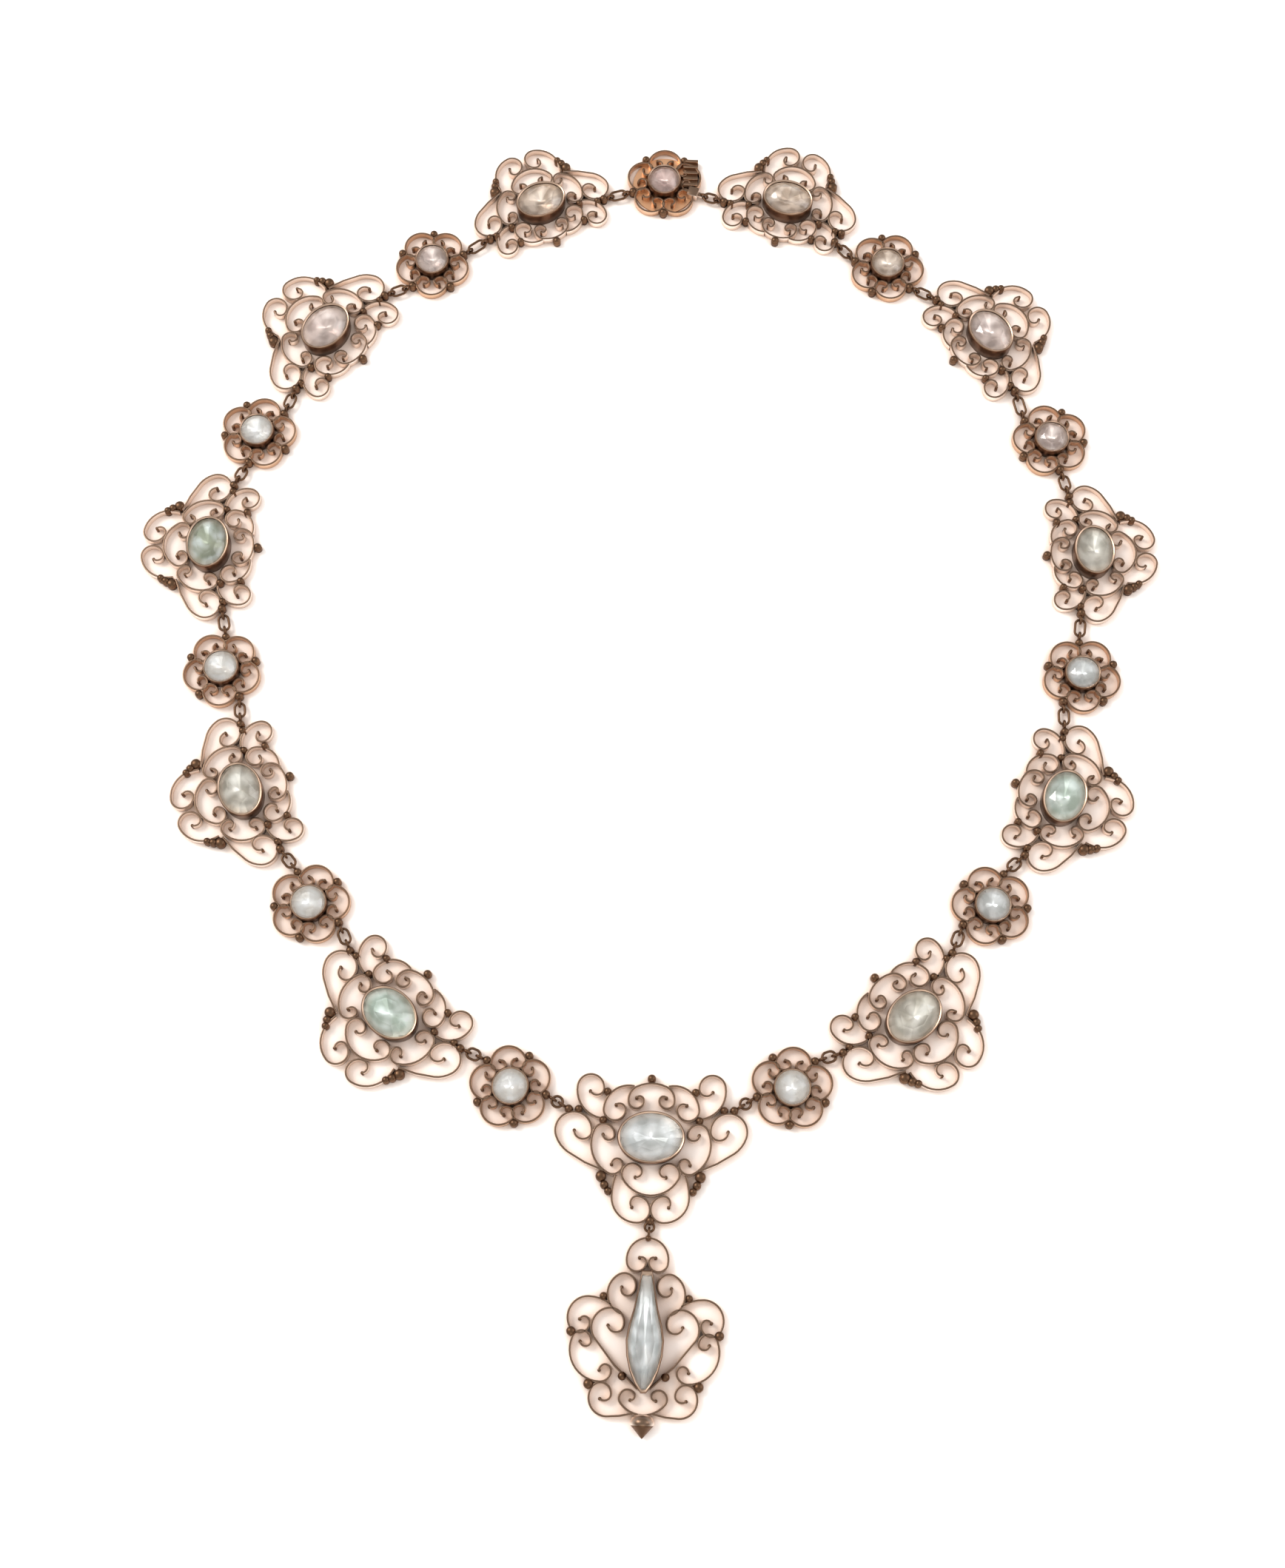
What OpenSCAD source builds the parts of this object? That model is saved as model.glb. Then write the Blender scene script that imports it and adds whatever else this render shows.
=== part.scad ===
// Aquamarine necklace of open gold scrollwork, laid flat.
// Eleven oval-stone links and ten round rosettes alternate round the loop, a rosette clasp closes it
// and a scrolled pendant with a long drop stone hangs from the middle link. Units are millimetres.
// X runs across the necklace, Y from the pendant towards the clasp, and Z up from the surface.

/* [Scroll strip] */
// Thickness of the gold strip, which is bent on its edge
strip_w = 0.45; // [0.4:0.05:0.55]
// Height of the strip
strip_h = 1.1; // [1:0.05:1.3]
// Radius of the round end of each curl
tip_r = 0.32; // [0.28:0.02:0.4]

/* [Stones] */
// Half length of the middle oval stone
oval_a = 4.15; // [4:0.05:4.2]
// Half width of the middle oval stone
oval_b = 3.15; // [3:0.05:3.2]
// Radius of the round stones
round_r = 2.3; // [2.2:0.05:2.35]
// Height of a stone above its edge, as a share of its half width
crown_share = 0.36; // [0.3:0.02:0.42]

/* [Settings] */
// Thickness of the closed back
back_t = 0.5; // [0.4:0.05:0.6]
// Height of the oval settings
oval_h = 2.6; // [2.5:0.05:2.8]
// Height of the round settings
round_h = 2.3; // [2.2:0.05:2.5]
// Wall between a stone and the outside of its setting
wall = 0.4; // [0.35:0.05:0.45]
// Gap round a stone in its setting
seat_gap = 0.06; // [0.04:0.01:0.08]

/* [Rings] */
// Radius of the wire of the jump rings and of the fixed loops
wire_r = 0.18; // [0.16:0.01:0.2]
// Middle radius of a fixed loop
loop_r = 0.5; // [0.48:0.01:0.52]
// Half width of a jump ring, to the middle of its wire
ring_r = 0.7; // [0.65:0.05:0.75]
// Distance from the middle of a grain to the middle of its fixed loop
loop_reach = 1.05; // [1:0.01:1.1]

/* [Hidden] */

$fn = 60;
gold = "#b98a63";
aqua = "#c3d6d2";

// Middle height of the grains, loops and jump rings
grain_z = 0.75;
// Radius of the grains that cover the outer joints
grain_r = 0.55;
// Each arc of a scroll stops this short of the next, and a small disc covers the joint
joint_trim = 0.05;
joint_swell = 0.03;
// A curl whose last arc is tighter than this ends in a round tip
tip_below = 2;
// A grain's round top, as a share of the grain, and how deep it sinks into its post
dome_share = 0.9;
dome_sunk = 0.4;
// Turn from one petal of a rosette to the next
petal_turn = 360 / 5;
// Steps round each end of a jump ring, and sides of its wire
ring_steps = 8;
wire_sides = 6;
// Sides of an oval setting's outline
oval_sides = 40;
// Points round a stone's edge
stone_sides = 16;
// Sizes of the clasp's box and tongue
box_size = [1.6, 1.5, 1.3];
box_in = -0.3;
tongue_size = [1.7, 0.7, 0.4];
tongue_reach = 0.4;
tongue_gap = 0.1;
box_wall = 0.25;

// The clasp's closed back, and the ribbed spring beside its stone, in the rosette's own frame
back_r = 4.7;
back_h = 0.25;
spring_size = [2.2, 4.7, 0.9];
spring_from = [-5, -4.2, 0];
rib_size = [2.2, 0.4, 1.3];
ribs_from = -4;
rib_step = 1;
rib_count = 5;

// The units in loop order from the clasp, down the left side and up the right.
// A unit's own +X points to the next unit and its own +Y to the inside of the loop.
// Columns: name, kind, x, y, turn in degrees, size
UNITS = [
    ["clasp_rosette", "rosette", 2.35, 87.1, 178, 1.08],
    ["left_link_5", "side", -16.15, 83.5, -158.4, 0.842],
    ["left_rosette_5", "rosette", -32.15, 73.65, -145, 1.05],
    ["left_link_4", "side", -47.45, 62.35, -129.1, 0.91],
    ["left_rosette_4", "rosette", -56.7, 45.85, -121.6, 1.05],
    ["left_link_3", "side", -62.7, 28.2, -91.9, 0.88],
    ["left_rosette_3", "rosette", -59.8, 9.55, -75.1, 1.05],
    ["left_link_2", "side", -56.1, -8.4, -70.4, 0.88],
    ["left_rosette_2", "rosette", -46.05, -24.2, -49.9, 1.05],
    ["left_link_1", "side", -34.55, -39.35, -41.1, 0.931],
    ["left_rosette_1", "rosette", -18.35, -49, -30, 1.05],
    ["centre_link", "centre", 0.2, -55.75, -0.8, 1],
    ["right_rosette_1", "rosette", 18.8, -49.2, 31.1, 1.05],
    ["right_link_1", "side", 35.1, -39.8, 41.8, 0.935],
    ["right_rosette_2", "rosette", 46.4, -24.5, 50.3, 1.05],
    ["right_link_2", "side", 56.9, -9.4, 70, 0.87],
    ["right_rosette_3", "rosette", 60.5, 8.65, 72.8, 1.05],
    ["right_link_3", "side", 63.2, 27, 92.1, 0.83],
    ["right_rosette_4", "rosette", 58.2, 44.7, 121.5, 1.05],
    ["right_link_4", "side", 50.1, 61.6, 126, 0.854],
    ["right_rosette_5", "rosette", 35.4, 73.05, 151, 1.05],
    ["right_link_5", "side", 20.8, 83.75, 162.9, 0.848]
];
PENDANT = ["pendant_frame", "pendant", -0.6, -80.6, -2, 1];

// Scrolls are chains of arcs that run smoothly into one another.
// Columns: paired, middle x, middle y, radius, start angle, end angle,
// curl that runs on from the start, curl that runs on from the end.
// A curl is a list of [radius, sweep in degrees]. Paired scrolls have a mirror image.
TOP_SCROLLS = [
    [false, 0, 2.6, 4.6, 65, 115, [[1.9, 75], [1, 180], [0.52, 130]], [[1.9, 75], [1, 180], [0.52, 130]]],
    [true, 3, 3.6, 3.3, 4.6, 103, [[1.45, 180], [0.8, 130]], []],
    [true, 3.45, -0.72, 4.4, -60, 23, [[1.3, 120], [0.72, 180]], [[1.4, 157], [0.75, 180]]],
    [false, 0, -3.25, 4.15, 210, 330, [[1.35, 180], [0.72, 130]], [[1.35, 180], [0.72, 130]]]
];
CENTRE_SCROLLS = concat(TOP_SCROLLS, [
    [true, 6, 6.3, 3.8, -80, 8, [], [[1.75, 175], [0.95, 150]]],
    [true, 10.2, 0.95, 2.4, -20, 180, [[4.2, 35], [18, 17]], [[1.15, 180]]],
    [true, 1.75, -7.6, 3.3, -90, 0, [[1.7, 180], [0.85, 130]], [[8, 20]]]
]);
SIDE_SCROLLS = concat(TOP_SCROLLS, [
    [true, 6.7, 5.45, 3.45, -85, 8, [], [[1.7, 175], [0.92, 150]]],
    [true, 10.15, 0.35, 2.35, -20, 180, [[4.2, 35], [18, 17]], [[1.15, 180]]],
    [true, 1.75, -6.7, 4.1, -80, 0, [[1.75, 180], [0.9, 140]], [[8, 10]]]
]);
PETAL = [false, 2.87, 0, 2.28, -74, 74, [[1, 150], [0.55, 150]], [[1, 150], [0.55, 150]]];
PENDANT_SCROLLS = [
    [false, 0, 9.35, 2.7, -12, 192, [[1.25, 165], [0.6, 120]], [[1.25, 165], [0.6, 120]]],
    [true, 2.3, 5, 2.7, -70, 60, [], [[1.5, 170], [0.8, 150]]],
    [true, 7.4, 1.9, 2.6, -30, 90, [[1.35, 150], [0.7, 150]], [[5, 35]]],
    [true, 4.5, 0.75, 2.4, -35, 90, [[30, 16]], [[1.75, 110], [1, 150]]],
    [true, 5.55, -2, 4, -89, 21, [[1.4, 91], [0.75, 180]], [[1.25, 159], [0.7, 170]]],
    [true, 4.6, -7.9, 2.3, -90, 30, [[12, 16]], [[1.35, 150], [0.85, 130]]],
    [false, 0, -6.27, 3.63, 219, 321, [[1.05, 180], [0.55, 130]], [[1.05, 180], [0.55, 130]]]
];

// Grains of gold on the joints. Columns: paired, x, y, radius
CENTRE_GRAINS = [
    [false, 0, 7.85, 0.55], [true, 6.5, -4.95, 0.7], [true, 6.05, -6.05, 0.55], [true, 5.55, -6.85, 0.5],
    [false, 0, -10.6, 0.55], [true, 6.35, 2.35, 0.5], [true, 5.8, 6.1, 0.5], [true, 9.6, 3.75, 0.5],
    [true, 10.9, 3.75, 0.55]
];
SIDE_GRAINS = [
    [false, 0, 7.85, 0.55], [true, 6.8, -5.45, 0.7], [true, 6.35, -6.5, 0.55], [true, 5.9, -7.3, 0.5],
    [true, 6.4, 2.3, 0.5], [true, 6, 5.6, 0.5], [true, 9.6, 3, 0.5], [true, 10.8, 3, 0.55]
];
PENDANT_GRAINS = [
    [true, 5.5, 4.6, 0.5], [true, 9.5, 0.1, 0.6], [true, 7, -6.3, 0.65], [true, 2.75, -5.2, 0.55],
    [false, 0, 12.05, 0.4]
];
// Distance from a rosette's middle to its grains, and the side angle of the two that carry the chain
rosette_grain_at = 4.55;
rosette_side_angle = 18;
// Places on a link that carry the chain, for a link of size 1
centre_carries = [10.9, 3.75];
side_carries = [10.8, 3];
// One link carries its lower ring on the inner curl, by a grain that the others do not have
low_link = "right_link_5";
low_grain = [false, -10.1, 5, 0.55];

// Half outline of the pendant's setting. Columns: half width, y
DROP = [
    [0.35, -7.4], [1.1, -6.4], [1.9, -4.7], [2.4, -2.8], [2.55, -0.8],
    [2.2, 1.2], [1.65, 3.2], [1.2, 5.5], [0.9, 7.2], [0.7, 8.1]
];
drop_middle = [0, -1];
drop_widest = 2.55;
drop_reach = 8.3;
drop_h = 3;
drop_wall = 0.34;

// The rim over a stone's edge, the rim of the round settings, and where the stones sit under it
lip_h = 0.2;
lip_over = 0.15;
ledge = 0.32;
seat_drop = 0.3;
stone_drop = 0.26;
oval_edge_z = oval_h - lip_h - stone_drop;
round_edge_z = round_h - lip_h - stone_drop;
drop_edge_z = drop_h - lip_h - stone_drop;
oval_depth = 1.4;
round_depth = 1.1;
drop_depth = 1.9;
drop_crown = 0.95;

// The loops that hold the pendant, and how far their middles lie from the grains that carry them
hang_loop_r = 0.6;
hang_wire_r = 0.17;
flat_reach = 0.8;
bail_reach = 0.7;
bail_z = 0.85;

function on_circle(c, r, a) = [c[0] + r * cos(a), c[1] + r * sin(a)];
function mirrored(points) = [for (i = [len(points) - 1:-1:0]) [-points[i][0], points[i][1]]];
function place(unit, p) = on_circle([unit[2], unit[3]], norm(p), unit[4] + atan2(p[1], p[0]));
function index_of(name) = [for (i = [0:len(UNITS) - 1]) if (UNITS[i][0] == name) i][0];

// Arcs that run on from the end of another arc. Each is [middle, radius, low angle, high angle, end angle].
function run_on(c, r, a, way, curl, i = 0) =
    i == len(curl) ? [] :
    let (
        next_r = curl[i][0],
        next_c = on_circle(c, r - next_r, a),
        end = a + way * curl[i][1]
    )
    concat(
        [[next_c, next_r, min(a, end), max(a, end), end]],
        run_on(next_c, next_r, end, way, curl, i + 1)
    );
function start_run(row) = run_on([row[1], row[2]], row[3], row[4], -1, row[6]);
function end_run(row) = run_on([row[1], row[2]], row[3], row[5], 1, row[7]);
function first_arc(row) = [[row[1], row[2]], row[3], row[4], row[5], row[5]];
function end_point(arc) = on_circle(arc[0], arc[1], arc[4]);

// The point on a unit that carries the chain: side is 1 towards the next unit and -1 towards the last
function anchor(unit, side) =
    unit[0] == low_link && side < 0 ? place(unit, unit[5] * [low_grain[1], low_grain[2]]) :
    unit[1] == "centre" ? place(unit, [side * centre_carries[0], centre_carries[1]]) :
    unit[1] == "side" ? place(unit, unit[5] * [side * side_carries[0], side_carries[1]]) :
    place(unit, unit[5] * rosette_grain_at * [side * cos(rosette_side_angle), sin(rosette_side_angle)]);
function next_unit(i) = UNITS[(i + 1) % len(UNITS)];
function last_unit(i) = UNITS[(i + len(UNITS) - 1) % len(UNITS)];
// Middles of the two fixed loops that a jump ring joins, after unit i
function heading(a, b) = (b - a) / norm(b - a);
function loop_after(i) =
    let (a = anchor(UNITS[i], 1), b = anchor(next_unit(i), -1)) a + loop_reach * heading(a, b);
function loop_before(i) =
    let (a = anchor(UNITS[i], -1), b = anchor(last_unit(i), 1)) a + loop_reach * heading(a, b);
function turn_of(v) = atan2(v[1], v[0]);

// The pendant's loop and the centre link's flat loop lie on the line between these two points
link_foot = place(UNITS[index_of("centre_link")], [0, -10.6]);
pendant_top = place(PENDANT, [0, 12.05]);
hang_way = heading(link_foot, pendant_top);
flat_loop_at = link_foot + flat_reach * hang_way;
bail_at = pendant_top - bail_reach * hang_way;
// The clasp's catch and the loop on its tongue
catch_at = anchor(UNITS[0], -1);
tongue_loop = catch_at + (loop_reach + tongue_reach) * heading(catch_at, anchor(last_unit(0), 1));

module wedge(from, to, reach) {
    steps = ceil((to - from) / 60);
    step = (to - from) / steps;
    polygon(concat([[0, 0]], [for (i = [0:steps]) on_circle([0, 0], reach, from + i * step)]));
}

module strip_arc(arc, k) {
    r = k * arc[1];
    trim = joint_trim / r * 180 / PI;
    translate(k * arc[0])
        intersection() {
            difference() {
                circle(r + strip_w / 2);
                circle(r - strip_w / 2);
            }
            wedge(arc[2] + trim, arc[3] - trim, 1.5 * (r + strip_w));
        }
}

// A curl off one end of a scroll's main arc, with a round tip, or a plain joint where there is no curl
module curl(arcs, start, k) {
    translate(k * start)
        circle(strip_w / 2 + joint_swell);
    for (i = [0:1:len(arcs) - 1]) {
        strip_arc(arcs[i], k);
        translate(k * end_point(arcs[i]))
            circle(i == len(arcs) - 1 && arcs[i][1] < tip_below ? tip_r : strip_w / 2 + joint_swell);
    }
}

module scroll(row, k) {
    middle = [row[1], row[2]];
    strip_arc(first_arc(row), k);
    curl(start_run(row), on_circle(middle, row[3], row[4]), k);
    curl(end_run(row), on_circle(middle, row[3], row[5]), k);
}

function sides(row) = row[0] ? [-1, 1] : [1];
module scrolls(rows, grains, k) {
    linear_extrude(strip_h) {
        for (row = rows) {
            scroll(row, k);
            if (row[0])
                mirror([1, 0])
                    scroll(row, k);
        }
        for (row = grains, side = sides(row))
            translate(k * [side * row[1], row[2]])
                circle(row[3]);
    }
    for (row = grains, side = sides(row))
        translate(k * [side * row[1], row[2]])
            dome(row[3]);
}

// The round top of a grain, which stands on its own short post
module dome(r) {
    ball = dome_share * r;
    translate([0, 0, strip_h - dome_sunk * ball])
        sphere(ball);
}

module torus(r, wire) {
    rotate_extrude()
        translate([r, 0])
            circle(wire);
}

// A fixed loop that stands on its edge, with its hole across the chain
module standing_loop(at, way) {
    translate([at[0], at[1], grain_z])
        rotate([90, 0, turn_of(way)])
            torus(loop_r, wire_r);
}

function oval(a, b, n = oval_sides) = [for (i = [0:n - 1]) [a * cos(360 * i / n), b * sin(360 * i / n)]];

// A closed-back setting. Its children are the outline, the opening in the rim and the stone's seat.
module setting(h, seat_z, lip) {
    difference() {
        linear_extrude(h)
            children(0);
        translate([0, 0, back_t])
            linear_extrude(h)
                children(1);
        translate([0, 0, seat_z])
            linear_extrude(h - lip - seat_z)
                children(2);
    }
}

module oval_setting(k) {
    a = k * oval_a;
    b = k * oval_b;
    setting(oval_h, oval_edge_z - seat_drop, lip_h) {
        polygon(oval(a + wall, b + wall));
        polygon(oval(a - lip_over, b - lip_over));
        polygon(oval(a + seat_gap, b + seat_gap));
    }
}

module round_setting() {
    setting(round_h, round_edge_z - seat_drop, lip_h) {
        circle(round_r + ledge);
        circle(round_r - lip_over);
        circle(round_r + seat_gap);
    }
}

module put(unit) {
    translate([unit[2], unit[3], 0])
        rotate(unit[4])
            children();
}

module fixed_loops(i) {
    standing_loop(loop_after(i), loop_after(i) - anchor(UNITS[i], 1));
    if (i > 0)
        standing_loop(loop_before(i), loop_before(i) - anchor(UNITS[i], -1));
}

module side_link(name) {
    i = index_of(name);
    k = UNITS[i][5];
    color(gold) {
        put(UNITS[i]) {
            scrolls(SIDE_SCROLLS, name == low_link ? concat(SIDE_GRAINS, [low_grain]) : SIDE_GRAINS, k);
            oval_setting(k);
        }
        fixed_loops(i);
    }
}

module centre_link() {
    i = index_of("centre_link");
    color(gold) {
        put(UNITS[i]) {
            scrolls(CENTRE_SCROLLS, CENTRE_GRAINS, 1);
            oval_setting(1);
        }
        fixed_loops(i);
        translate([flat_loop_at[0], flat_loop_at[1], grain_z])
            torus(hang_loop_r, hang_wire_r);
    }
}

module at_rosette_grains(first, k) {
    for (i = [first:4])
        rotate(petal_turn * (i + 2) + rosette_side_angle)
            translate([k * rosette_grain_at, 0])
                children();
}

// Five petals round the setting, with a grain between each two of them
module rosette_body(first_grain, k) {
    linear_extrude(strip_h) {
        for (i = [0:4])
            rotate(petal_turn * i - rosette_side_angle)
                scroll(PETAL, k);
        at_rosette_grains(first_grain, k)
            circle(grain_r);
    }
    at_rosette_grains(first_grain, k)
        dome(grain_r);
    round_setting();
}

module rosette(name) {
    i = index_of(name);
    color(gold) {
        put(UNITS[i])
            rosette_body(0, UNITS[i][5]);
        fixed_loops(i);
    }
}

// Frame of the clasp's catch: +X points out along the chain to the last link
module at_catch() {
    translate([catch_at[0], catch_at[1], grain_z])
        rotate(turn_of(tongue_loop - catch_at))
            children();
}

module clasp_back() {
    cylinder(h = back_h, r = back_r);
    translate(spring_from)
        cube(spring_size);
    for (i = [0:rib_count - 1])
        translate([spring_from[0], ribs_from + i * rib_step, 0])
            cube(rib_size);
}

module clasp_rosette() {
    color(gold)
        difference() {
            union() {
                put(UNITS[0]) {
                    rosette_body(1, UNITS[0][5]);
                    clasp_back();
                }
                fixed_loops(0);
                at_catch()
                    translate([box_in, 0, 0])
                        cube(box_size, center = true);
            }
            at_catch()
                translate([box_wall, 0, 0])
                    cube(tongue_size + 2 * tongue_gap * [0, 1, 1], center = true);
        }
}

module clasp_tongue() {
    color(gold)
        at_catch() {
            translate([box_wall + tongue_gap, 0, 0])
                cube(tongue_size, center = true);
            translate([loop_reach + tongue_reach, 0, 0])
                rotate([90, 0, 0])
                    torus(loop_r, wire_r);
        }
}

// A cut stone round the point mid: girdle holds an even number of points.
// Rings of corners, from the top: table, upper joints, girdle top and bottom, lower joints, culet.
module cut_stone(girdle, mid, edge_z, crown, depth) {
    n = len(girdle) / 2;
    half_turn = cos(180 / n / 2);
    table = 0.56;
    upper = 0.8;
    lower = 0.3;
    edge = 0.08;
    function ring(i, share, z) = concat(mid + share * (girdle[i] - mid), [z]);
    upper_z = edge_z + crown * (1 - upper * half_turn) / (1 - table);
    lower_z = edge_z - depth * (1 - lower * half_turn);
    points = concat(
        [for (j = [0:n - 1]) ring(2 * j, table, edge_z + crown)],
        [for (j = [0:n - 1]) ring(2 * j + 1, upper, upper_z)],
        [for (j = [0:2 * n - 1]) ring(j, 1, edge_z + edge / 2)],
        [for (j = [0:2 * n - 1]) ring(j, 1, edge_z - edge / 2)],
        [for (j = [0:n - 1]) ring(2 * j + 1, lower, lower_z)],
        [concat(mid, [edge_z - depth])]
    );
    u = n;
    t = 2 * n;
    b = 4 * n;
    l = 6 * n;
    c = 7 * n;
    faces = concat(
        [[for (j = [n - 1:-1:0]) j]],
        [for (j = [0:n - 1]) [j, (j + 1) % n, u + j]],
        [for (j = [0:n - 1]) [j, u + j, t + 2 * j]],
        [for (j = [0:n - 1]) [(j + 1) % n, t + (2 * j + 2) % t, u + j]],
        [for (j = [0:n - 1]) [u + j, t + 2 * j + 1, t + 2 * j]],
        [for (j = [0:n - 1]) [u + j, t + (2 * j + 2) % t, t + 2 * j + 1]],
        [for (j = [0:t - 1]) [t + j, t + (j + 1) % t, b + j]],
        [for (j = [0:t - 1]) [b + j, t + (j + 1) % t, b + (j + 1) % t]],
        [for (j = [0:n - 1]) [b + 2 * j, b + 2 * j + 1, l + j]],
        [for (j = [0:n - 1]) [b + 2 * j + 1, b + (2 * j + 2) % t, l + j]],
        [for (j = [0:n - 1]) [b + 2 * j, l + j, c]],
        [for (j = [0:n - 1]) [b + (2 * j + 2) % t, c, l + j]]
    );
    polyhedron(points, faces);
}

module link_stone(name) {
    unit = UNITS[index_of(name)];
    k = unit[5];
    color(aqua)
        put(unit)
            cut_stone(
                oval(k * oval_a, k * oval_b, stone_sides),
                [0, 0], oval_edge_z, k * crown_share * oval_b, oval_depth
            );
}

module rosette_stones() {
    color(aqua)
        for (unit = UNITS)
            if (unit[1] == "rosette")
                put(unit)
                    cut_stone(
                        oval(round_r, round_r, stone_sides),
                        [0, 0], round_edge_z, crown_share * round_r, round_depth
                    );
}

// The drop's outline with its middle narrowed by d on each side, and its ends drawn in to match
drop_outline = concat(DROP, mirrored(DROP));
function narrowed(d) = [
    for (p = drop_outline)
        drop_middle + [p[0] * (1 - d / drop_widest), (p[1] - drop_middle[1]) * (1 - 2 * d / drop_reach)]
];

module drop_setting() {
    setting(drop_h, drop_edge_z - seat_drop, lip_h) {
        polygon(drop_outline);
        polygon(narrowed(drop_wall + lip_over));
        polygon(narrowed(drop_wall - seat_gap));
    }
}

// The little turned top under the pendant, cut flat at the back. Columns: radius, distance below the middle
TOP = [[0, 9.8], [0.6, 9.8], [1.3, 10.15], [1.6, 10.75], [1.5, 11.2], [0.15, 12.7], [0, 12.75]];
top_axis_z = 0.8;
top_space = [4, 4, 3];
top_space_from = [-2, -13, 0];
module finial() {
    intersection() {
        translate([0, 0, top_axis_z])
            rotate([90, 0, 0])
                rotate_extrude()
                    polygon(TOP);
        translate(top_space_from)
            cube(top_space);
    }
}

module pendant_frame() {
    color(gold) {
        put(PENDANT) {
            scrolls(PENDANT_SCROLLS, PENDANT_GRAINS, 1);
            drop_setting();
            finial();
        }
        translate([bail_at[0], bail_at[1], bail_z])
            rotate([90, 0, turn_of(hang_way)])
                torus(hang_loop_r, hang_wire_r);
    }
}

module pendant_stone() {
    color(aqua)
        put(PENDANT)
            cut_stone(narrowed(drop_wall), drop_middle, drop_edge_z, drop_crown, drop_depth);
}

// A long ring of round wire: half circles at its two ends, with straight wire between them
module long_ring(half) {
    straight = half - ring_r;
    n = 2 * (ring_steps + 1);
    m = wire_sides;
    function way(i) = (i > ring_steps ? i - 1 : i) * 180 / ring_steps - 90;
    function bend(i) = [i > ring_steps ? -straight : straight, 0];
    points = [
        for (i = [0:n - 1], j = [0:m - 1])
            concat(
                on_circle(bend(i), ring_r + wire_r * cos(360 * j / m), way(i)),
                [wire_r * sin(360 * j / m)]
            )
    ];
    function corner(i, j) = (i % n) * m + j % m;
    faces = [
        for (i = [0:n - 1], j = [0:m - 1], half = [0, 1])
            half == 0
                ? [corner(i, j), corner(i, j + 1), corner(i + 1, j)]
                : [corner(i + 1, j), corner(i, j + 1), corner(i + 1, j + 1)]
    ];
    polyhedron(points, faces);
}

module jump_rings() {
    color(gold)
        for (i = [0:len(UNITS) - 1]) {
            last = i == len(UNITS) - 1;
            a = loop_after(i);
            b = last ? tongue_loop : loop_before(i + 1);
            translate([(a[0] + b[0]) / 2, (a[1] + b[1]) / 2, grain_z])
                rotate(turn_of(b - a))
                    long_ring(norm(b - a) / 2);
        }
}

clasp_rosette();
clasp_tongue();
side_link("left_link_5");  // left_link_5
rosette("left_rosette_5");  // left_rosette_5
side_link("left_link_4");  // left_link_4
rosette("left_rosette_4");  // left_rosette_4
side_link("left_link_3");  // left_link_3
rosette("left_rosette_3");  // left_rosette_3
side_link("left_link_2");  // left_link_2
rosette("left_rosette_2");  // left_rosette_2
side_link("left_link_1");  // left_link_1
rosette("left_rosette_1");  // left_rosette_1
centre_link();
rosette("right_rosette_1");  // right_rosette_1
side_link("right_link_1");  // right_link_1
rosette("right_rosette_2");  // right_rosette_2
side_link("right_link_2");  // right_link_2
rosette("right_rosette_3");  // right_rosette_3
side_link("right_link_3");  // right_link_3
rosette("right_rosette_4");  // right_rosette_4
side_link("right_link_4");  // right_link_4
rosette("right_rosette_5");  // right_rosette_5
side_link("right_link_5");  // right_link_5
pendant_frame();
link_stone("left_link_5");  // left_link_5_stone
link_stone("left_link_4");  // left_link_4_stone
link_stone("left_link_3");  // left_link_3_stone
link_stone("left_link_2");  // left_link_2_stone
link_stone("left_link_1");  // left_link_1_stone
link_stone("centre_link");  // centre_stone
link_stone("right_link_1");  // right_link_1_stone
link_stone("right_link_2");  // right_link_2_stone
link_stone("right_link_3");  // right_link_3_stone
link_stone("right_link_4");  // right_link_4_stone
link_stone("right_link_5");  // right_link_5_stone
pendant_stone();
rosette_stones();
jump_rings();
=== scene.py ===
# %% [markdown]
# # An aquamarine necklace of gold scrollwork, laid flat
#
# The real necklace is a closed chain of 22 open units: eleven scrolled links with oval stones and
# eleven small rosettes with round ones, joined by long rings, with a pendant that holds a long
# drop stone. Its gold is a thin flat strip that stands on its edge and is bent into curls. That
# is a shape that follows a path, so Geometry Nodes sweep the strip along every curl. The settings
# and stones follow from their outlines instead, and short functions loft them.
#
# The first cell loads the part's solids as a fixed frame. Each piece below stands for one of them
# and lies in the same place.

import math
from collections import namedtuple

import bmesh
import bpy
from mathutils import Matrix, Vector


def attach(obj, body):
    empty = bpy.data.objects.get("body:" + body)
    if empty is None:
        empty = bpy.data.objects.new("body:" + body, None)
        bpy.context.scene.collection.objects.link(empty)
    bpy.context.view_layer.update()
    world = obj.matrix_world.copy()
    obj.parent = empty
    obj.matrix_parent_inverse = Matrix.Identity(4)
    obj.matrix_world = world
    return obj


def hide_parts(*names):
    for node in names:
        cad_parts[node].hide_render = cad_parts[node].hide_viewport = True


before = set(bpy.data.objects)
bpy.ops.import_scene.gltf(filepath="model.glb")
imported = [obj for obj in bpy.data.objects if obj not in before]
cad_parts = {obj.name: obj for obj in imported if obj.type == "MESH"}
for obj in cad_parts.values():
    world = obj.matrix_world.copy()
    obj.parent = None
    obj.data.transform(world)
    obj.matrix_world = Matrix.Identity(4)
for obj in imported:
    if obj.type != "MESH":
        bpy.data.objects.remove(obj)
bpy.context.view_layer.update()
MM = 0.001

# %% [markdown]
# ## Where the units lie
#
# A necklace that is laid on paper never lies quite evenly, so every unit has its own place and
# turn: x across the necklace, y from the pendant to the clasp, in millimetres and degrees, all as
# in the part's source. A unit's own X points to the next unit round the loop, and its own Y to
# the inside of the loop. Its size is a factor, because the links shrink towards the clasp.

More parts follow.
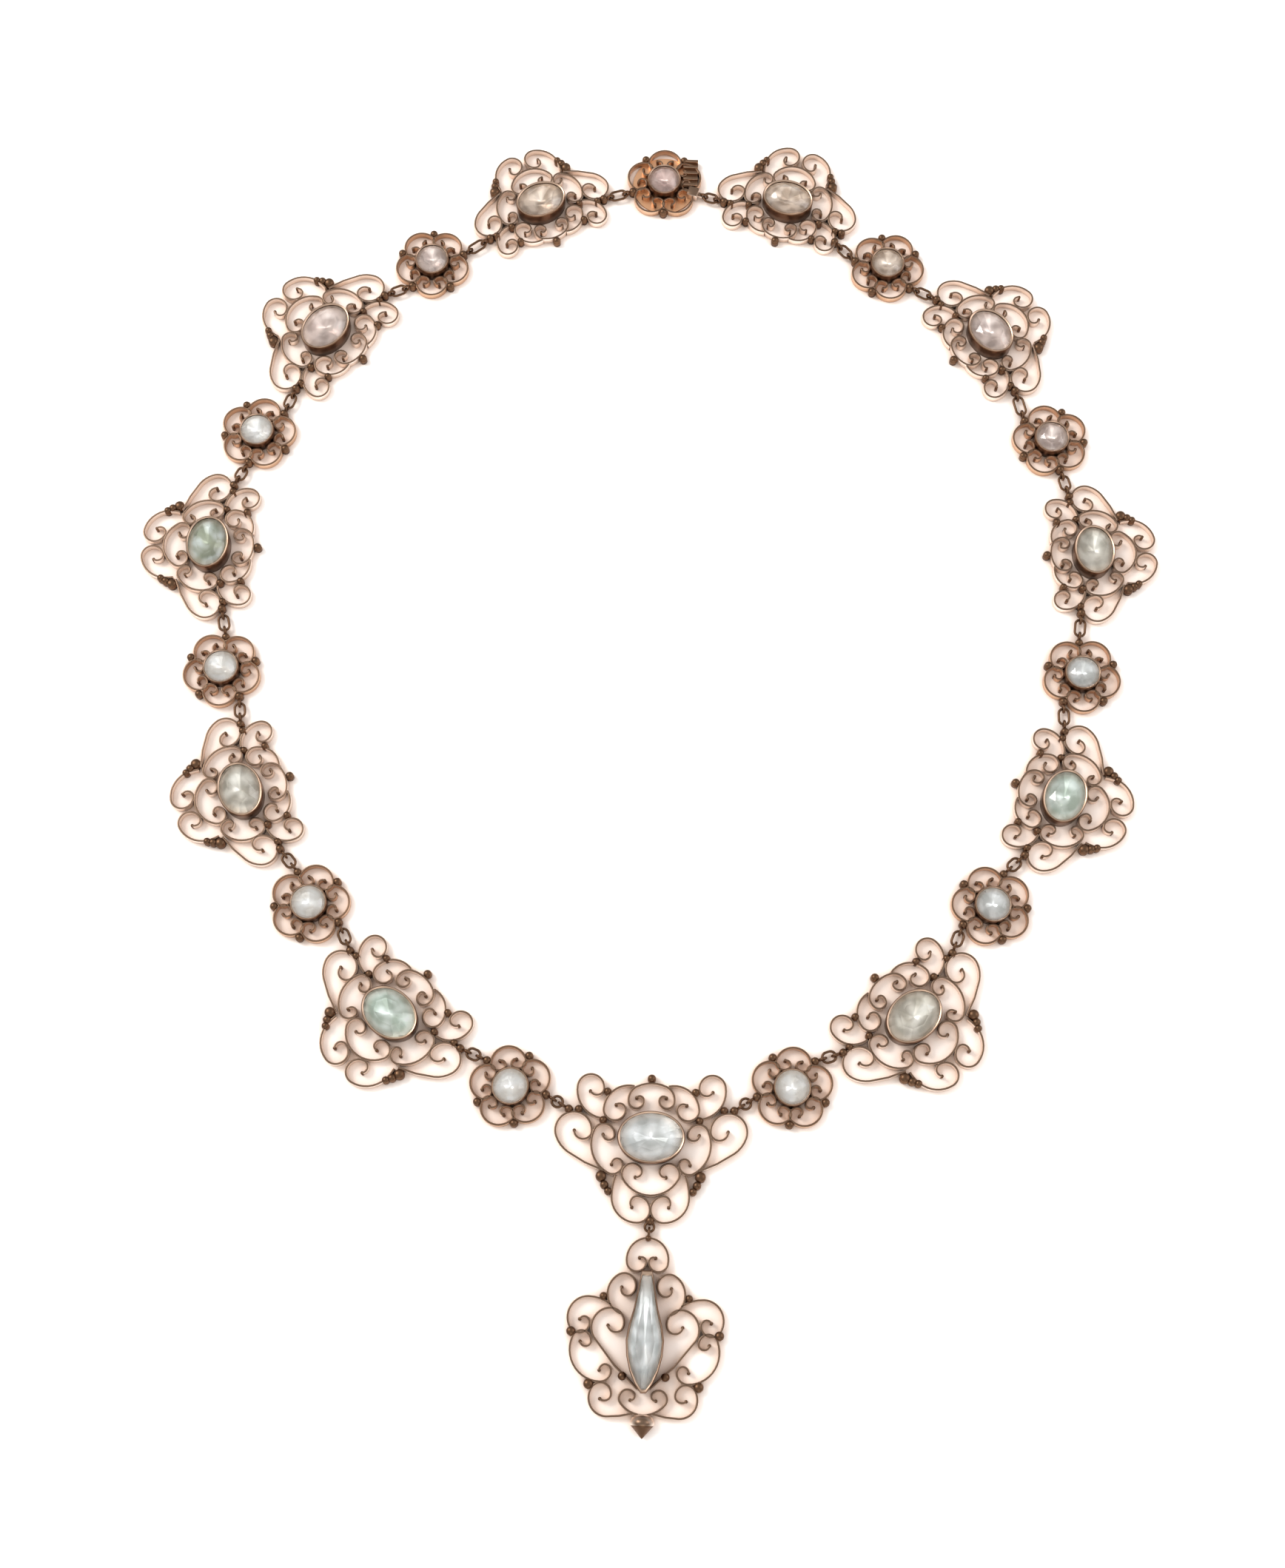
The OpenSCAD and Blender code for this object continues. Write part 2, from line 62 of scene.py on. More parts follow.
# %% The units
Unit = namedtuple("Unit", "name kind x y turn size")
UNITS = [
    Unit("clasp_rosette", "rosette", 2.35, 87.1, 178, 1.08),
    Unit("left_link_5", "side", -16.15, 83.5, -158.4, 0.842),
    Unit("left_rosette_5", "rosette", -32.15, 73.65, -145, 1.05),
    Unit("left_link_4", "side", -47.45, 62.35, -129.1, 0.91),
    Unit("left_rosette_4", "rosette", -56.7, 45.85, -121.6, 1.05),
    Unit("left_link_3", "side", -62.7, 28.2, -91.9, 0.88),
    Unit("left_rosette_3", "rosette", -59.8, 9.55, -75.1, 1.05),
    Unit("left_link_2", "side", -56.1, -8.4, -70.4, 0.88),
    Unit("left_rosette_2", "rosette", -46.05, -24.2, -49.9, 1.05),
    Unit("left_link_1", "side", -34.55, -39.35, -41.1, 0.931),
    Unit("left_rosette_1", "rosette", -18.35, -49, -30, 1.05),
    Unit("centre_link", "centre", 0.2, -55.75, -0.8, 1),
    Unit("right_rosette_1", "rosette", 18.8, -49.2, 31.1, 1.05),
    Unit("right_link_1", "side", 35.1, -39.8, 41.8, 0.935),
    Unit("right_rosette_2", "rosette", 46.4, -24.5, 50.3, 1.05),
    Unit("right_link_2", "side", 56.9, -9.4, 70, 0.87),
    Unit("right_rosette_3", "rosette", 60.5, 8.65, 72.8, 1.05),
    Unit("right_link_3", "side", 63.2, 27, 92.1, 0.83),
    Unit("right_rosette_4", "rosette", 58.2, 44.7, 121.5, 1.05),
    Unit("right_link_4", "side", 50.1, 61.6, 126, 0.854),
    Unit("right_rosette_5", "rosette", 35.4, 73.05, 151, 1.05),
    Unit("right_link_5", "side", 20.8, 83.75, 162.9, 0.848),
]
PENDANT = Unit("pendant_frame", "pendant", -0.6, -80.6, -2, 1)
print(len(UNITS), "units in the loop and", PENDANT.name)

# %% [markdown]
# ## The curls
#
# A goldsmith bends such a strip with round pliers, so every curl is a chain of arcs that run
# smoothly into one another. Points drawn by hand would wobble where arcs don't, and a whole curl
# fits in one row. The row holds: 1 if it has a mirror image and 0 if not, the middle and radius
# of its main arc, that arc's first and last angle, and the arcs that run on from its start and
# from its end, each with a radius and a sweep. A rosette needs one row only, because its five
# petals are alike.

# %% The scrolls of each kind of unit
BROW = [(1.9, 75), (1, 180), (0.52, 130)]
COMMON = [
    (0, 0, 2.6, 4.6, 65, 115, BROW, BROW),
    (1, 3, 3.6, 3.3, 4.6, 103, [(1.45, 180), (0.8, 130)], []),
    (1, 3.45, -0.72, 4.4, -60, 23, [(1.3, 120), (0.72, 180)], [(1.4, 157), (0.75, 180)]),
    (0, 0, -3.25, 4.15, 210, 330, [(1.35, 180), (0.72, 130)], [(1.35, 180), (0.72, 130)]),
]
SCROLLS = {
    "centre": COMMON + [
        (1, 6, 6.3, 3.8, -80, 8, [], [(1.75, 175), (0.95, 150)]),
        (1, 10.2, 0.95, 2.4, -20, 180, [(4.2, 35), (18, 17)], [(1.15, 180)]),
        (1, 1.75, -7.6, 3.3, -90, 0, [(1.7, 180), (0.85, 130)], [(8, 20)]),
    ],
    "side": COMMON + [
        (1, 6.7, 5.45, 3.45, -85, 8, [], [(1.7, 175), (0.92, 150)]),
        (1, 10.15, 0.35, 2.35, -20, 180, [(4.2, 35), (18, 17)], [(1.15, 180)]),
        (1, 1.75, -6.7, 4.1, -80, 0, [(1.75, 180), (0.9, 140)], [(8, 10)]),
    ],
    "rosette": [(0, 2.87, 0, 2.28, -74, 74, [(1, 150), (0.55, 150)], [(1, 150), (0.55, 150)])],
    "pendant": [
        (0, 0, 9.35, 2.7, -12, 192, [(1.25, 165), (0.6, 120)], [(1.25, 165), (0.6, 120)]),
        (1, 2.3, 5, 2.7, -70, 60, [], [(1.5, 170), (0.8, 150)]),
        (1, 7.4, 1.9, 2.6, -30, 90, [(1.35, 150), (0.7, 150)], [(5, 35)]),
        (1, 4.5, 0.75, 2.4, -35, 90, [(30, 16)], [(1.75, 110), (1, 150)]),
        (1, 5.55, -2, 4, -89, 21, [(1.4, 91), (0.75, 180)], [(1.25, 159), (0.7, 170)]),
        (1, 4.6, -7.9, 2.3, -90, 30, [(12, 16)], [(1.35, 150), (0.85, 130)]),
        (0, 0, -6.27, 3.63, 219, 321, [(1.05, 180), (0.55, 130)], [(1.05, 180), (0.55, 130)]),
    ],
}
print("Scrolls by kind:", {kind: sum(1 + row[0] for row in rows) for kind, rows in SCROLLS.items()})

# %% [markdown]
# ## The grains
#
# Small balls of gold were melted from scraps and soldered over the joints, which they hide. A row
# holds: 1 if the grain has a mirror image, its place and its radius. Some of the grains carry the
# chain or the pendant, and their places have names, because the loops below need them too.

# %% Where the grains sit
CHAIN_GRAIN = {"centre": (10.9, 3.75), "side": (10.8, 3)}
LINK_FOOT_Y, PENDANT_TOP_Y = -10.6, 12.05
GRAINS = {
    "centre": [
        (0, 0, 7.85, 0.55), (1, 6.5, -4.95, 0.7), (1, 6.05, -6.05, 0.55), (1, 5.55, -6.85, 0.5),
        (0, 0, LINK_FOOT_Y, 0.55), (1, 6.35, 2.35, 0.5), (1, 5.8, 6.1, 0.5), (1, 9.6, 3.75, 0.5),
        (1, *CHAIN_GRAIN["centre"], 0.55),
    ],
    "side": [
        (0, 0, 7.85, 0.55), (1, 6.8, -5.45, 0.7), (1, 6.35, -6.5, 0.55), (1, 5.9, -7.3, 0.5),
        (1, 6.4, 2.3, 0.5), (1, 6, 5.6, 0.5), (1, 9.6, 3, 0.5), (1, *CHAIN_GRAIN["side"], 0.55),
    ],
    "pendant": [
        (1, 5.5, 4.6, 0.5), (1, 9.5, 0.1, 0.6), (1, 7, -6.3, 0.65), (1, 2.75, -5.2, 0.55),
        (0, 0, PENDANT_TOP_Y, 0.4),
    ],
}
LOW_LINK, LOW_GRAIN = "right_link_5", (-10.1, 5, 0.55)
PETALS, ROSETTE_GRAIN_AT, ROSETTE_GRAIN_R = 5, 4.55, 0.55
PETAL_TURN, ROSETTE_SIDE_ANGLE = 360 / PETALS, 18
print("Grain rows by kind:", {kind: len(rows) for kind, rows in GRAINS.items()})

# %% [markdown]
# ## From rows to centre lines
#
# Each arc is stepped in pieces of nine degrees at most, which looks round at this size. An arc
# that follows on begins where the last one ends and has its middle on the same radius, so the
# strip never gets a kink. An end that closes into a small arc is a free tip, and gets its own
# little knob.


# %% Points along a scroll
ARC_STEP = 9
TIP_BELOW = 2


def on_circle(middle, radius, angle):
    turn = math.radians(angle)
    return (middle[0] + radius * math.cos(turn), middle[1] + radius * math.sin(turn))


def along_arc(middle, radius, start, end):
    steps = max(2, math.ceil(abs(end - start) / ARC_STEP))
    return [on_circle(middle, radius, start + (end - start) * i / steps) for i in range(steps + 1)]


def run_on(middle, radius, angle, way, curl):
    """The points of the arcs that follow on from an arc's end."""
    points = []
    for next_radius, sweep in curl:
        middle = on_circle(middle, radius - next_radius, angle)
        radius = next_radius
        points += along_arc(middle, radius, angle, angle + way * sweep)[1:]
        angle += way * sweep
    return points


def scroll_path(row):
    _, x, y, radius, start, end, first, last = row
    before = run_on((x, y), radius, start, -1, first)
    after = run_on((x, y), radius, end, 1, last)
    return before[::-1] + along_arc((x, y), radius, start, end) + after


def is_tip(curl):
    return bool(curl) and curl[-1][0] < TIP_BELOW


print("Points along the first scroll:", len(scroll_path(COMMON[0])))


# %% The centre lines and grains of a unit
def mirrored(points):
    return [(-x, y) for x, y in points]


def turned(points, angle):
    """Points turned about their unit's middle."""
    polar = [(math.hypot(x, y), math.degrees(math.atan2(y, x))) for x, y in points]
    return [on_circle((0, 0), radius, way + angle) for radius, way in polar]


def unit_paths(kind):
    """Centre lines of all the strips of a unit, with True where an end is a free curled tip."""
    paths = []
    for row in SCROLLS[kind]:
        has_twin, *_, first, last = row
        path, tips = scroll_path(row), (is_tip(first), is_tip(last))
        paths.append((path, tips))
        if has_twin:
            paths.append((mirrored(path), tips))
    if kind == "rosette":
        petal, tips = paths[0]
        turns = [PETAL_TURN * i - ROSETTE_SIDE_ANGLE for i in range(PETALS)]
        paths = [(turned(petal, turn), tips) for turn in turns]
    return paths


def unit_grains(unit):
    """Places and radii of a unit's grains. The clasp's box takes the place of one of them."""
    if unit.kind == "rosette":
        first = 1 if unit.name == "clasp_rosette" else 0
        angles = [90 + PETAL_TURN * (i + 1) for i in range(first, PETALS)]
        return [(*on_circle((0, 0), ROSETTE_GRAIN_AT, angle), ROSETTE_GRAIN_R) for angle in angles]
    rows = [(x, y, r) for _, x, y, r in GRAINS[unit.kind]]
    if unit.name == LOW_LINK:
        rows.append(LOW_GRAIN)
    return rows + [(-x, y, r) for has_twin, x, y, r in GRAINS[unit.kind] if has_twin]


print("Points along the centre link:", sum(len(path) for path, _ in unit_paths("centre")))

# %% [markdown]
# ## Colours and materials
#
# A finish is a small tree of shader nodes. One helper adds any node to any tree and sets it up,
# so that each material below reads as a list of what its surface has. Colours are written in sRGB
# hex, and one function turns them into the linear values that light is reckoned with.


# %% Helpers for node trees
def linear(code):
    """An sRGB hex colour as the linear values that Blender works with."""
    parts = [int(code[i : i + 2], 16) / 255 for i in (1, 3, 5)]
    return [p / 12.92 if p <= 0.04045 else ((p + 0.055) / 1.055) ** 2.4 for p in parts] + [1]


def add(tree, kind, inputs=None, stops=(), **settings):
    """Adds one node with its settings, a value or a link for each input, and a ramp's stops.

    A node that is given as an input is linked by its first output.
    """
    node = tree.nodes.new(kind)
    for name, value in settings.items():
        setattr(node, name, value)
    for key, value in (inputs or {}).items():
        if isinstance(value, bpy.types.Node):
            value = value.outputs[0]
        if isinstance(value, bpy.types.NodeSocket):
            tree.links.new(value, node.inputs[key])
        else:
            node.inputs[key].default_value = value
    if stops:
        ramp = node.color_ramp.elements
        while len(ramp) < len(stops):
            ramp.new(0.5)
        for element, (position, code) in zip(ramp, stops):
            element.position, element.color = position, linear(code)
    return node


def new_material(name):
    material = bpy.data.materials.new(name)
    material.use_nodes = True
    tree = material.node_tree
    tree.nodes.clear()
    return material, tree


print("Mid grey in linear light:", round(linear("#808080")[0], 3))

# %% [markdown]
# ### Aged rose gold
#
# The gold is an old alloy with much copper, drawn to strip, soldered and worn. Four things give
# it its look: a slow drift of tone over a few millimetres, a wear in the polish of a third of a
# millimetre (a real one is finer, but would not show), a painted tone on the narrow upper edge,
# which on the strips is a dark brown that stands for a dark reflection while the broad sides stay
# bright, and a deep brown wherever metal is closed in, which is tarnish in the joints and painted
# shade at the foot of each wall by the paper. The edge is found by the way the surface faces, and
# the deep brown by how closed in a point is, which is what Ambient Occlusion measures.

# %% The gold
DRIFT, WEAR = 4 * MM, 0.35 * MM
EDGE_FROM, EDGE_TO = 0.35, 0.85
TARNISH_AND_SHADE_REACH, TARNISH_AND_SHADE_UP_TO = 0.9 * MM, 0.32
WEAR_HEIGHT, WEAR_STRENGTH = 0.02 * MM, 0.25


def aged_rose_gold(name, light, mid, edge, deep, polish):
    """Sides from mid to light, a painted tone on what faces up, and a deep tone where metal is
    closed in.
    """
    material, tree = new_material(name)
    about = add(tree, "ShaderNodeTexCoord").outputs
    place = about["Object"]
    drift = add(tree, "ShaderNodeTexNoise", {"Vector": place, "Scale": 1 / DRIFT, "Detail": 3.0})
    wear = add(tree, "ShaderNodeTexNoise", {"Vector": place, "Scale": 1 / WEAR, "Detail": 2.0})
    side = add(tree, "ShaderNodeValToRGB", {"Fac": drift}, [(0.3, mid), (0.7, light)])
    # Upward faces take the edge tone: on the strips a painted dark reflection, on the settings a
    # lighter rim over walls in painted shade.
    upward = add(tree, "ShaderNodeSeparateXYZ", {"Vector": about["Normal"]}).outputs["Z"]
    facing = add(
        tree, "ShaderNodeMapRange", {"Value": upward, "From Min": EDGE_FROM, "From Max": EDGE_TO}
    )
    sides_and_painted_top = add(
        tree, "ShaderNodeMix", {"Factor": facing, 6: side, 7: linear(edge)}, data_type="RGBA"
    ).outputs[2]
    # Deep brown where metal is closed in: tarnish in the joints, and painted shade at the foot of
    # each wall by the paper.
    closed = add(tree, "ShaderNodeAmbientOcclusion", {"Distance": TARNISH_AND_SHADE_REACH}, samples=6)
    open_share = add(
        tree,
        "ShaderNodeMapRange",
        {"Value": closed.outputs["AO"], "From Min": 0.0, "From Max": TARNISH_AND_SHADE_UP_TO},
    )
    colour = add(
        tree, "ShaderNodeMix", {"Factor": open_share, 6: linear(deep), 7: sides_and_painted_top}, data_type="RGBA"
    ).outputs[2]
    rough = add(
        tree, "ShaderNodeMapRange", {"Value": wear, "To Min": polish - 0.07, "To Max": polish + 0.1}
    )
    bump = add(
        tree, "ShaderNodeBump", {"Height": wear, "Strength": WEAR_STRENGTH, "Distance": WEAR_HEIGHT}
    )
    shader = add(
        tree,
        "ShaderNodeBsdfPrincipled",
        {"Base Color": colour, "Metallic": 1.0, "Roughness": rough, "Normal": bump},
    )
    add(tree, "ShaderNodeOutputMaterial", {"Surface": shader})
    return material


print("Drift and wear in mm:", round(DRIFT / MM, 2), round(WEAR / MM, 2))

# %% The five golds
# Rose gold strip, rolled and polished: pale pink sides between dark upper edges, whose brown is a
# painted dark reflection.
rose_gold = aged_rose_gold("aged_rose_gold_strip", "#faebe0", "#ead7c8", "#6b5748", "#3a2416", 0.34)
# The redder strip of the small petals: the same make, a warmer look, and the same painted dark
# upper edge.
petal_gold = aged_rose_gold("aged_red_gold_petal", "#e2bfa3", "#c9a384", "#6b5545", "#3a2416", 0.34)
# Rose gold sheet round a stone: walls painted dark brown as shade, and a lighter rim on top.
setting_gold = aged_rose_gold(
    "rose_gold_setting_painted_shade_walls", "#7d5c46", "#614632", "#a58d7a", "#2e1a0e", 0.32
)
# Rose gold that no cloth reaches, in grains, rings and loops: dull and dark brown. On the turned
# top's cone the same brown is painted shade.
tarnish_and_shade_gold = aged_rose_gold(
    "tarnished_rose_gold_and_painted_shade", "#846249", "#614737", "#574131", "#2a1a10", 0.38
)
# Red gold sheet at the nape, kept clean by wear on the skin: an orange sheen behind the petals.
red_gold = aged_rose_gold("red_gold_clasp_back", "#cfa583", "#ae8666", "#c09573", "#5a3018", 0.4)
golds = (rose_gold, petal_gold, setting_gold, tarnish_and_shade_gold, red_gold)
print("Golds:", [gold.name for gold in golds])

# %% [markdown]
# ### Aquamarine and its foil
#
# Aquamarine is a beryl: clear, with an index of refraction of 1.58. Its crown is polished, and
# long wear has left it a little soft. A jeweller laid a bright foil behind such stones in closed
# settings, which is why they shine though no light comes through the back. So the facets under
# the girdle carry the foil's colour: a ray goes in through the crown, is thrown back by the
# foiled facets and comes out again, a little tinted. Close to the girdle the gold wall shows
# through, and that reflection of the gold is painted into the foil: each stone has a number at
# its corners, 0 at its point and 1 at its girdle, which warms the tint towards the edge. Each foil
# has aged in its own way, and has its own tint.

# %% The stones' two materials
BERYL_IOR = 1.58
RUB_SIZE, CRINKLE_SIZE = 1.5 * MM, 1.5 * MM
CRINKLE_HEIGHT, CRINKLE_STRENGTH = 0.05 * MM, 0.06
# A painted reflection of the gold wall, mixed into each foil near its girdle.
PAINTED_GOLD_REFLECTION, PAINTED_REFLECTION_FROM, PAINTED_REFLECTION_SHARE = "#e6d3c4", 0.6, 0.7


def polished_beryl(name, code):
    material, tree = new_material(name)
    place = add(tree, "ShaderNodeTexCoord").outputs["Object"]
    rub = add(tree, "ShaderNodeTexNoise", {"Vector": place, "Scale": 1 / RUB_SIZE, "Detail": 0.0})
    rough = add(tree, "ShaderNodeMapRange", {"Value": rub, "To Min": 0.08, "To Max": 0.16})
    shader = add(
        tree,
        "ShaderNodeBsdfPrincipled",
        {
            "Base Color": linear(code),
            "Roughness": rough,
            "IOR": BERYL_IOR,
            "Transmission Weight": 1.0,
        },
    )
    add(tree, "ShaderNodeOutputMaterial", {"Surface": shader})
    return material


def foiled_facets(name, code, shade):
    """Crinkled foil from shade to code, warmed near the girdle by a painted reflection of the gold
    round it.
    """
    material, tree = new_material(name)
    place = add(tree, "ShaderNodeTexCoord").outputs["Object"]
    crinkle = add(
        tree, "ShaderNodeTexNoise", {"Vector": place, "Scale": 1 / CRINKLE_SIZE, "Detail": 0.0}
    )
    core = add(tree, "ShaderNodeValToRGB", {"Fac": crinkle}, [(0.35, shade), (0.65, code)])
    outward = add(tree, "ShaderNodeAttribute", attribute_name="outward").outputs["Fac"]
    # Painted reflection of the gold wall, rising towards the girdle.
    rim = add(
        tree, "ShaderNodeMapRange", {"Value": outward, "From Min": PAINTED_REFLECTION_FROM, "To Max": PAINTED_REFLECTION_SHARE}
    )
    tone = add(
        tree, "ShaderNodeMix", {"Factor": rim, 6: core, 7: linear(PAINTED_GOLD_REFLECTION)}, data_type="RGBA"
    ).outputs[2]
    bump = add(
        tree,
        "ShaderNodeBump",
        {"Height": crinkle, "Strength": CRINKLE_STRENGTH, "Distance": CRINKLE_HEIGHT},
    )
    shader = add(
        tree,
        "ShaderNodeBsdfPrincipled",
        {"Base Color": tone, "Metallic": 0.7, "Roughness": 0.3, "Normal": bump},
    )
    add(tree, "ShaderNodeOutputMaterial", {"Surface": shader})
    return material


# Cut and polished beryl: clear, with the least hint of sea colour, and soft highlights.
crown_glass = polished_beryl("polished_aquamarine_crown", "#f9fcfb")
print("Crown:", crown_glass.name)

# %% The foils
# Burnished silver foil under lacquer: each tint gives its stone a milky body colour.
FOILS = {
    "silver": ("#ffffff", "#eeeae5"),
    "cool_grey": ("#f6f7f8", "#cfd1d0"),
    "sea_green": ("#f2faf6", "#b9c6ba"),
    "olive": ("#e9f0ee", "#a3a994"),
    "straw": ("#f6f2ea", "#bcb6aa"),
    "blush": ("#fbece6", "#c3b0a9"),
    "amber": ("#f6e6d8", "#b8a28f"),
    "rosy": ("#eacfc8", "#a98b84"),
}
FOIL_OF = {
    "centre_link": "cool_grey", "pendant_frame": "cool_grey", "clasp_rosette": "rosy",
    "left_link_1": "sea_green", "left_link_2": "straw", "left_link_3": "olive",
    "left_link_4": "blush", "left_link_5": "amber", "left_rosette_5": "blush",
    "right_link_1": "straw", "right_link_2": "sea_green", "right_link_3": "straw",
    "right_link_4": "blush", "right_link_5": "amber", "right_rosette_2": "cool_grey",
    "right_rosette_3": "cool_grey", "right_rosette_4": "blush", "right_rosette_5": "amber",
}
foils = {tint: foiled_facets("foil_behind_stone_" + tint, *codes) for tint, codes in FOILS.items()}


def foil_of(unit):
    return foils[FOIL_OF.get(unit.name, "silver")]


print(len(foils), "foil tints")

# %% [markdown]
# ## The strip: a profile swept along the curls
#
# The strip is a flat ribbon on its edge. Its profile is a rectangle whose corners are rounded by
# filing, and the tree carries it along every centre line with the curve's normals kept level, so
# that the ribbon always stands upright. Extruded faces would need their corners rounded one by
# one.


# %% A Geometry Nodes tree with named inputs
def new_tree(name, sizes):
    """A tree with a geometry input and output, a number for each size, and a material input."""
    tree = bpy.data.node_groups.new(name, "GeometryNodeTree")
    tree.interface.new_socket("Geometry", in_out="INPUT", socket_type="NodeSocketGeometry")
    for label in sizes:
        tree.interface.new_socket(label, in_out="INPUT", socket_type="NodeSocketFloat")
    tree.interface.new_socket("Metal", in_out="INPUT", socket_type="NodeSocketMaterial")
    tree.interface.new_socket("Geometry", in_out="OUTPUT", socket_type="NodeSocketGeometry")
    return tree, add(tree, "NodeGroupInput").outputs


def close_tree(tree, given, shape):
    """Ends a tree in smooth shading, Realize Instances and Set Material, and gives it back."""
    smooth = add(tree, "GeometryNodeSetShadeSmooth", {"Geometry": shape, "Shade Smooth": True})
    real = add(tree, "GeometryNodeRealizeInstances", {"Geometry": smooth})
    done = add(tree, "GeometryNodeSetMaterial", {"Geometry": real, "Material": given["Metal"]})
    add(tree, "NodeGroupOutput", {"Geometry": done})
    print("Tree", tree.name, "has", len(tree.nodes), "nodes")
    return tree


# %% The strip's tree
tree, given = new_tree("strip along its curls", ["Strip width", "Strip height", "Filed corner"])
level = add(tree, "GeometryNodeSetCurveNormal", {"Curve": given["Geometry"]}, mode="Z_UP")
ribbon = add(
    tree,
    "GeometryNodeCurvePrimitiveQuadrilateral",
    {"Width": given["Strip width"], "Height": given["Strip height"]},
)
filed = add(
    tree,
    "GeometryNodeFilletCurve",
    {"Curve": ribbon, "Count": 3, "Radius": given["Filed corner"]},
    mode="POLY",
)
swept = add(
    tree,
    "GeometryNodeCurveToMesh",
    {"Curve": level, "Profile Curve": filed, "Fill Caps": True},
)
strip_tree = close_tree(tree, given, swept)

# %% [markdown]
# ### Round wire and grains
#
# The loops and rings are round wire, so a circle is swept instead of a ribbon. A grain is a ball
# that melted onto a joint: a squat dome on a short post. One tree sets a copy on every point of a
# mesh and widens it by the point's own number, so all the grains of a unit are made at once.

# %% The wire's tree
WIRE_SIDES = 10
tree, given = new_tree("round wire along a path", ["Wire radius"])
section = add(
    tree,
    "GeometryNodeCurvePrimitiveCircle",
    {"Resolution": WIRE_SIDES, "Radius": given["Wire radius"]},
)
drawn = add(
    tree, "GeometryNodeCurveToMesh", {"Curve": given["Geometry"], "Profile Curve": section}
)
wire_tree = close_tree(tree, given, drawn)

# %% The grains' tree
GRAIN_SIDES, GRAIN_RINGS, DOME_SHARE = 18, 10, 0.98
tree, given = new_tree("grains on their posts", ["Post height", "Dome height"])
named = add(tree, "GeometryNodeInputNamedAttribute", {"Name": "width"}, data_type="FLOAT")
width = named.outputs["Attribute"]
post = add(
    tree,
    "GeometryNodeMeshCylinder",
    {"Vertices": GRAIN_SIDES, "Radius": 1.0, "Depth": given["Post height"]},
    fill_type="NGON",
)
ball = add(
    tree,
    "GeometryNodeMeshUVSphere",
    {"Segments": GRAIN_SIDES, "Rings": GRAIN_RINGS, "Radius": 1.0},
)
squat = add(
    tree, "ShaderNodeCombineXYZ", {"X": DOME_SHARE, "Y": DOME_SHARE, "Z": given["Dome height"]}
)
half = add(tree, "ShaderNodeMath", {0: given["Post height"], 1: 0.5}, operation="MULTIPLY")
lift = add(tree, "ShaderNodeCombineXYZ", {"Z": half})
dome = add(
    tree, "GeometryNodeTransform", {"Geometry": ball, "Translation": lift, "Scale": squat}
)
both = add(tree, "GeometryNodeJoinGeometry", {"Geometry": post})
tree.links.new(dome.outputs["Geometry"], both.inputs["Geometry"])
wide = add(tree, "ShaderNodeCombineXYZ", {"X": width, "Y": width, "Z": 1.0})
placed = add(
    tree,
    "GeometryNodeInstanceOnPoints",
    {"Points": given["Geometry"], "Instance": both, "Scale": wide},
)
grain_tree = close_tree(tree, given, placed)

# %% [markdown]
# ## From a tree to a plain mesh
#
# A tree works on an object through a modifier, whose inputs are set by their identifiers. The
# result is then copied out as a plain mesh, and the source object is thrown away, so that nothing
# live is left on a finished piece. The sources are curves for strip and wire, and loose points
# for grains.


# %% Running a tree
def run_tree(source, tree, values, material):
    """Runs a tree on an object and gives back the result as a plain mesh."""
    bpy.context.scene.collection.objects.link(source)
    modifier = source.modifiers.new("shape", "NODES")
    modifier.node_group = tree
    for item in tree.interface.items_tree:
        if item.in_out == "INPUT" and item.name in values:
            modifier[item.identifier] = values[item.name]
        if item.in_out == "INPUT" and item.socket_type == "NodeSocketMaterial":
            modifier[item.identifier] = material
    graph = bpy.context.evaluated_depsgraph_get()
    mesh = bpy.data.meshes.new_from_object(source.evaluated_get(graph), depsgraph=graph)
    bpy.data.objects.remove(source)
    return mesh


def curve_source(paths, z, closed=False):
    """A curve object with one spline for each path. A path's points are in millimetres."""
    curve = bpy.data.curves.new("paths", "CURVE")
    curve.dimensions = "3D"
    for path in paths:
        spline = curve.splines.new("POLY")
        spline.points.add(len(path) - 1)
        spline.use_cyclic_u = closed
        for point, spot in zip(spline.points, path):
            height = spot[2] if len(spot) > 2 else z
            point.co = (spot[0] * MM, spot[1] * MM, height * MM, 1)
    return bpy.data.objects.new("paths", curve)


def point_source(spots, z):
    """A mesh of loose points, each with its own width, in millimetres."""
    mesh = bpy.data.meshes.new("points")
    mesh.from_pydata([(x * MM, y * MM, z * MM) for x, y, _ in spots], [], [])
    width = mesh.attributes.new("width", "FLOAT", "POINT")
    width.data.foreach_set("value", [r * MM for _, _, r in spots])
    return bpy.data.objects.new("points", mesh)


# %% Strips, wires and grains
STRIP_W, STRIP_H, FILED_CORNER = 0.3, 1.1, 0.09


def strips(paths, metal=rose_gold):
    sizes = {
        "Strip width": STRIP_W * MM,
        "Strip height": STRIP_H * MM,
        "Filed corner": FILED_CORNER * MM,
    }
    return run_tree(curve_source(paths, STRIP_H / 2), strip_tree, sizes, metal)


def wires(paths, radius):
    """Closed rings of round wire. Their points have all three coordinates."""
    source = curve_source(paths, 0, closed=True)
    return run_tree(source, wire_tree, {"Wire radius": radius * MM}, tarnish_and_shade_gold)


def grains(spots, height, dome):
    sizes = {"Post height": height * MM, "Dome height": dome * MM}
    return run_tree(point_source(spots, height / 2), grain_tree, sizes, tarnish_and_shade_gold)


def measured(mesh):
    """The size of a mesh along X, Y and Z, in millimetres."""
    spots = [v.co for v in mesh.vertices]
    return [round((max(s[i] for s in spots) - min(s[i] for s in spots)) / MM, 2) for i in range(3)]


trial = strips([[(0, 0), (5, 0)]])
print("A straight strip of 5 mm measures", measured(trial))
bpy.data.meshes.remove(trial)

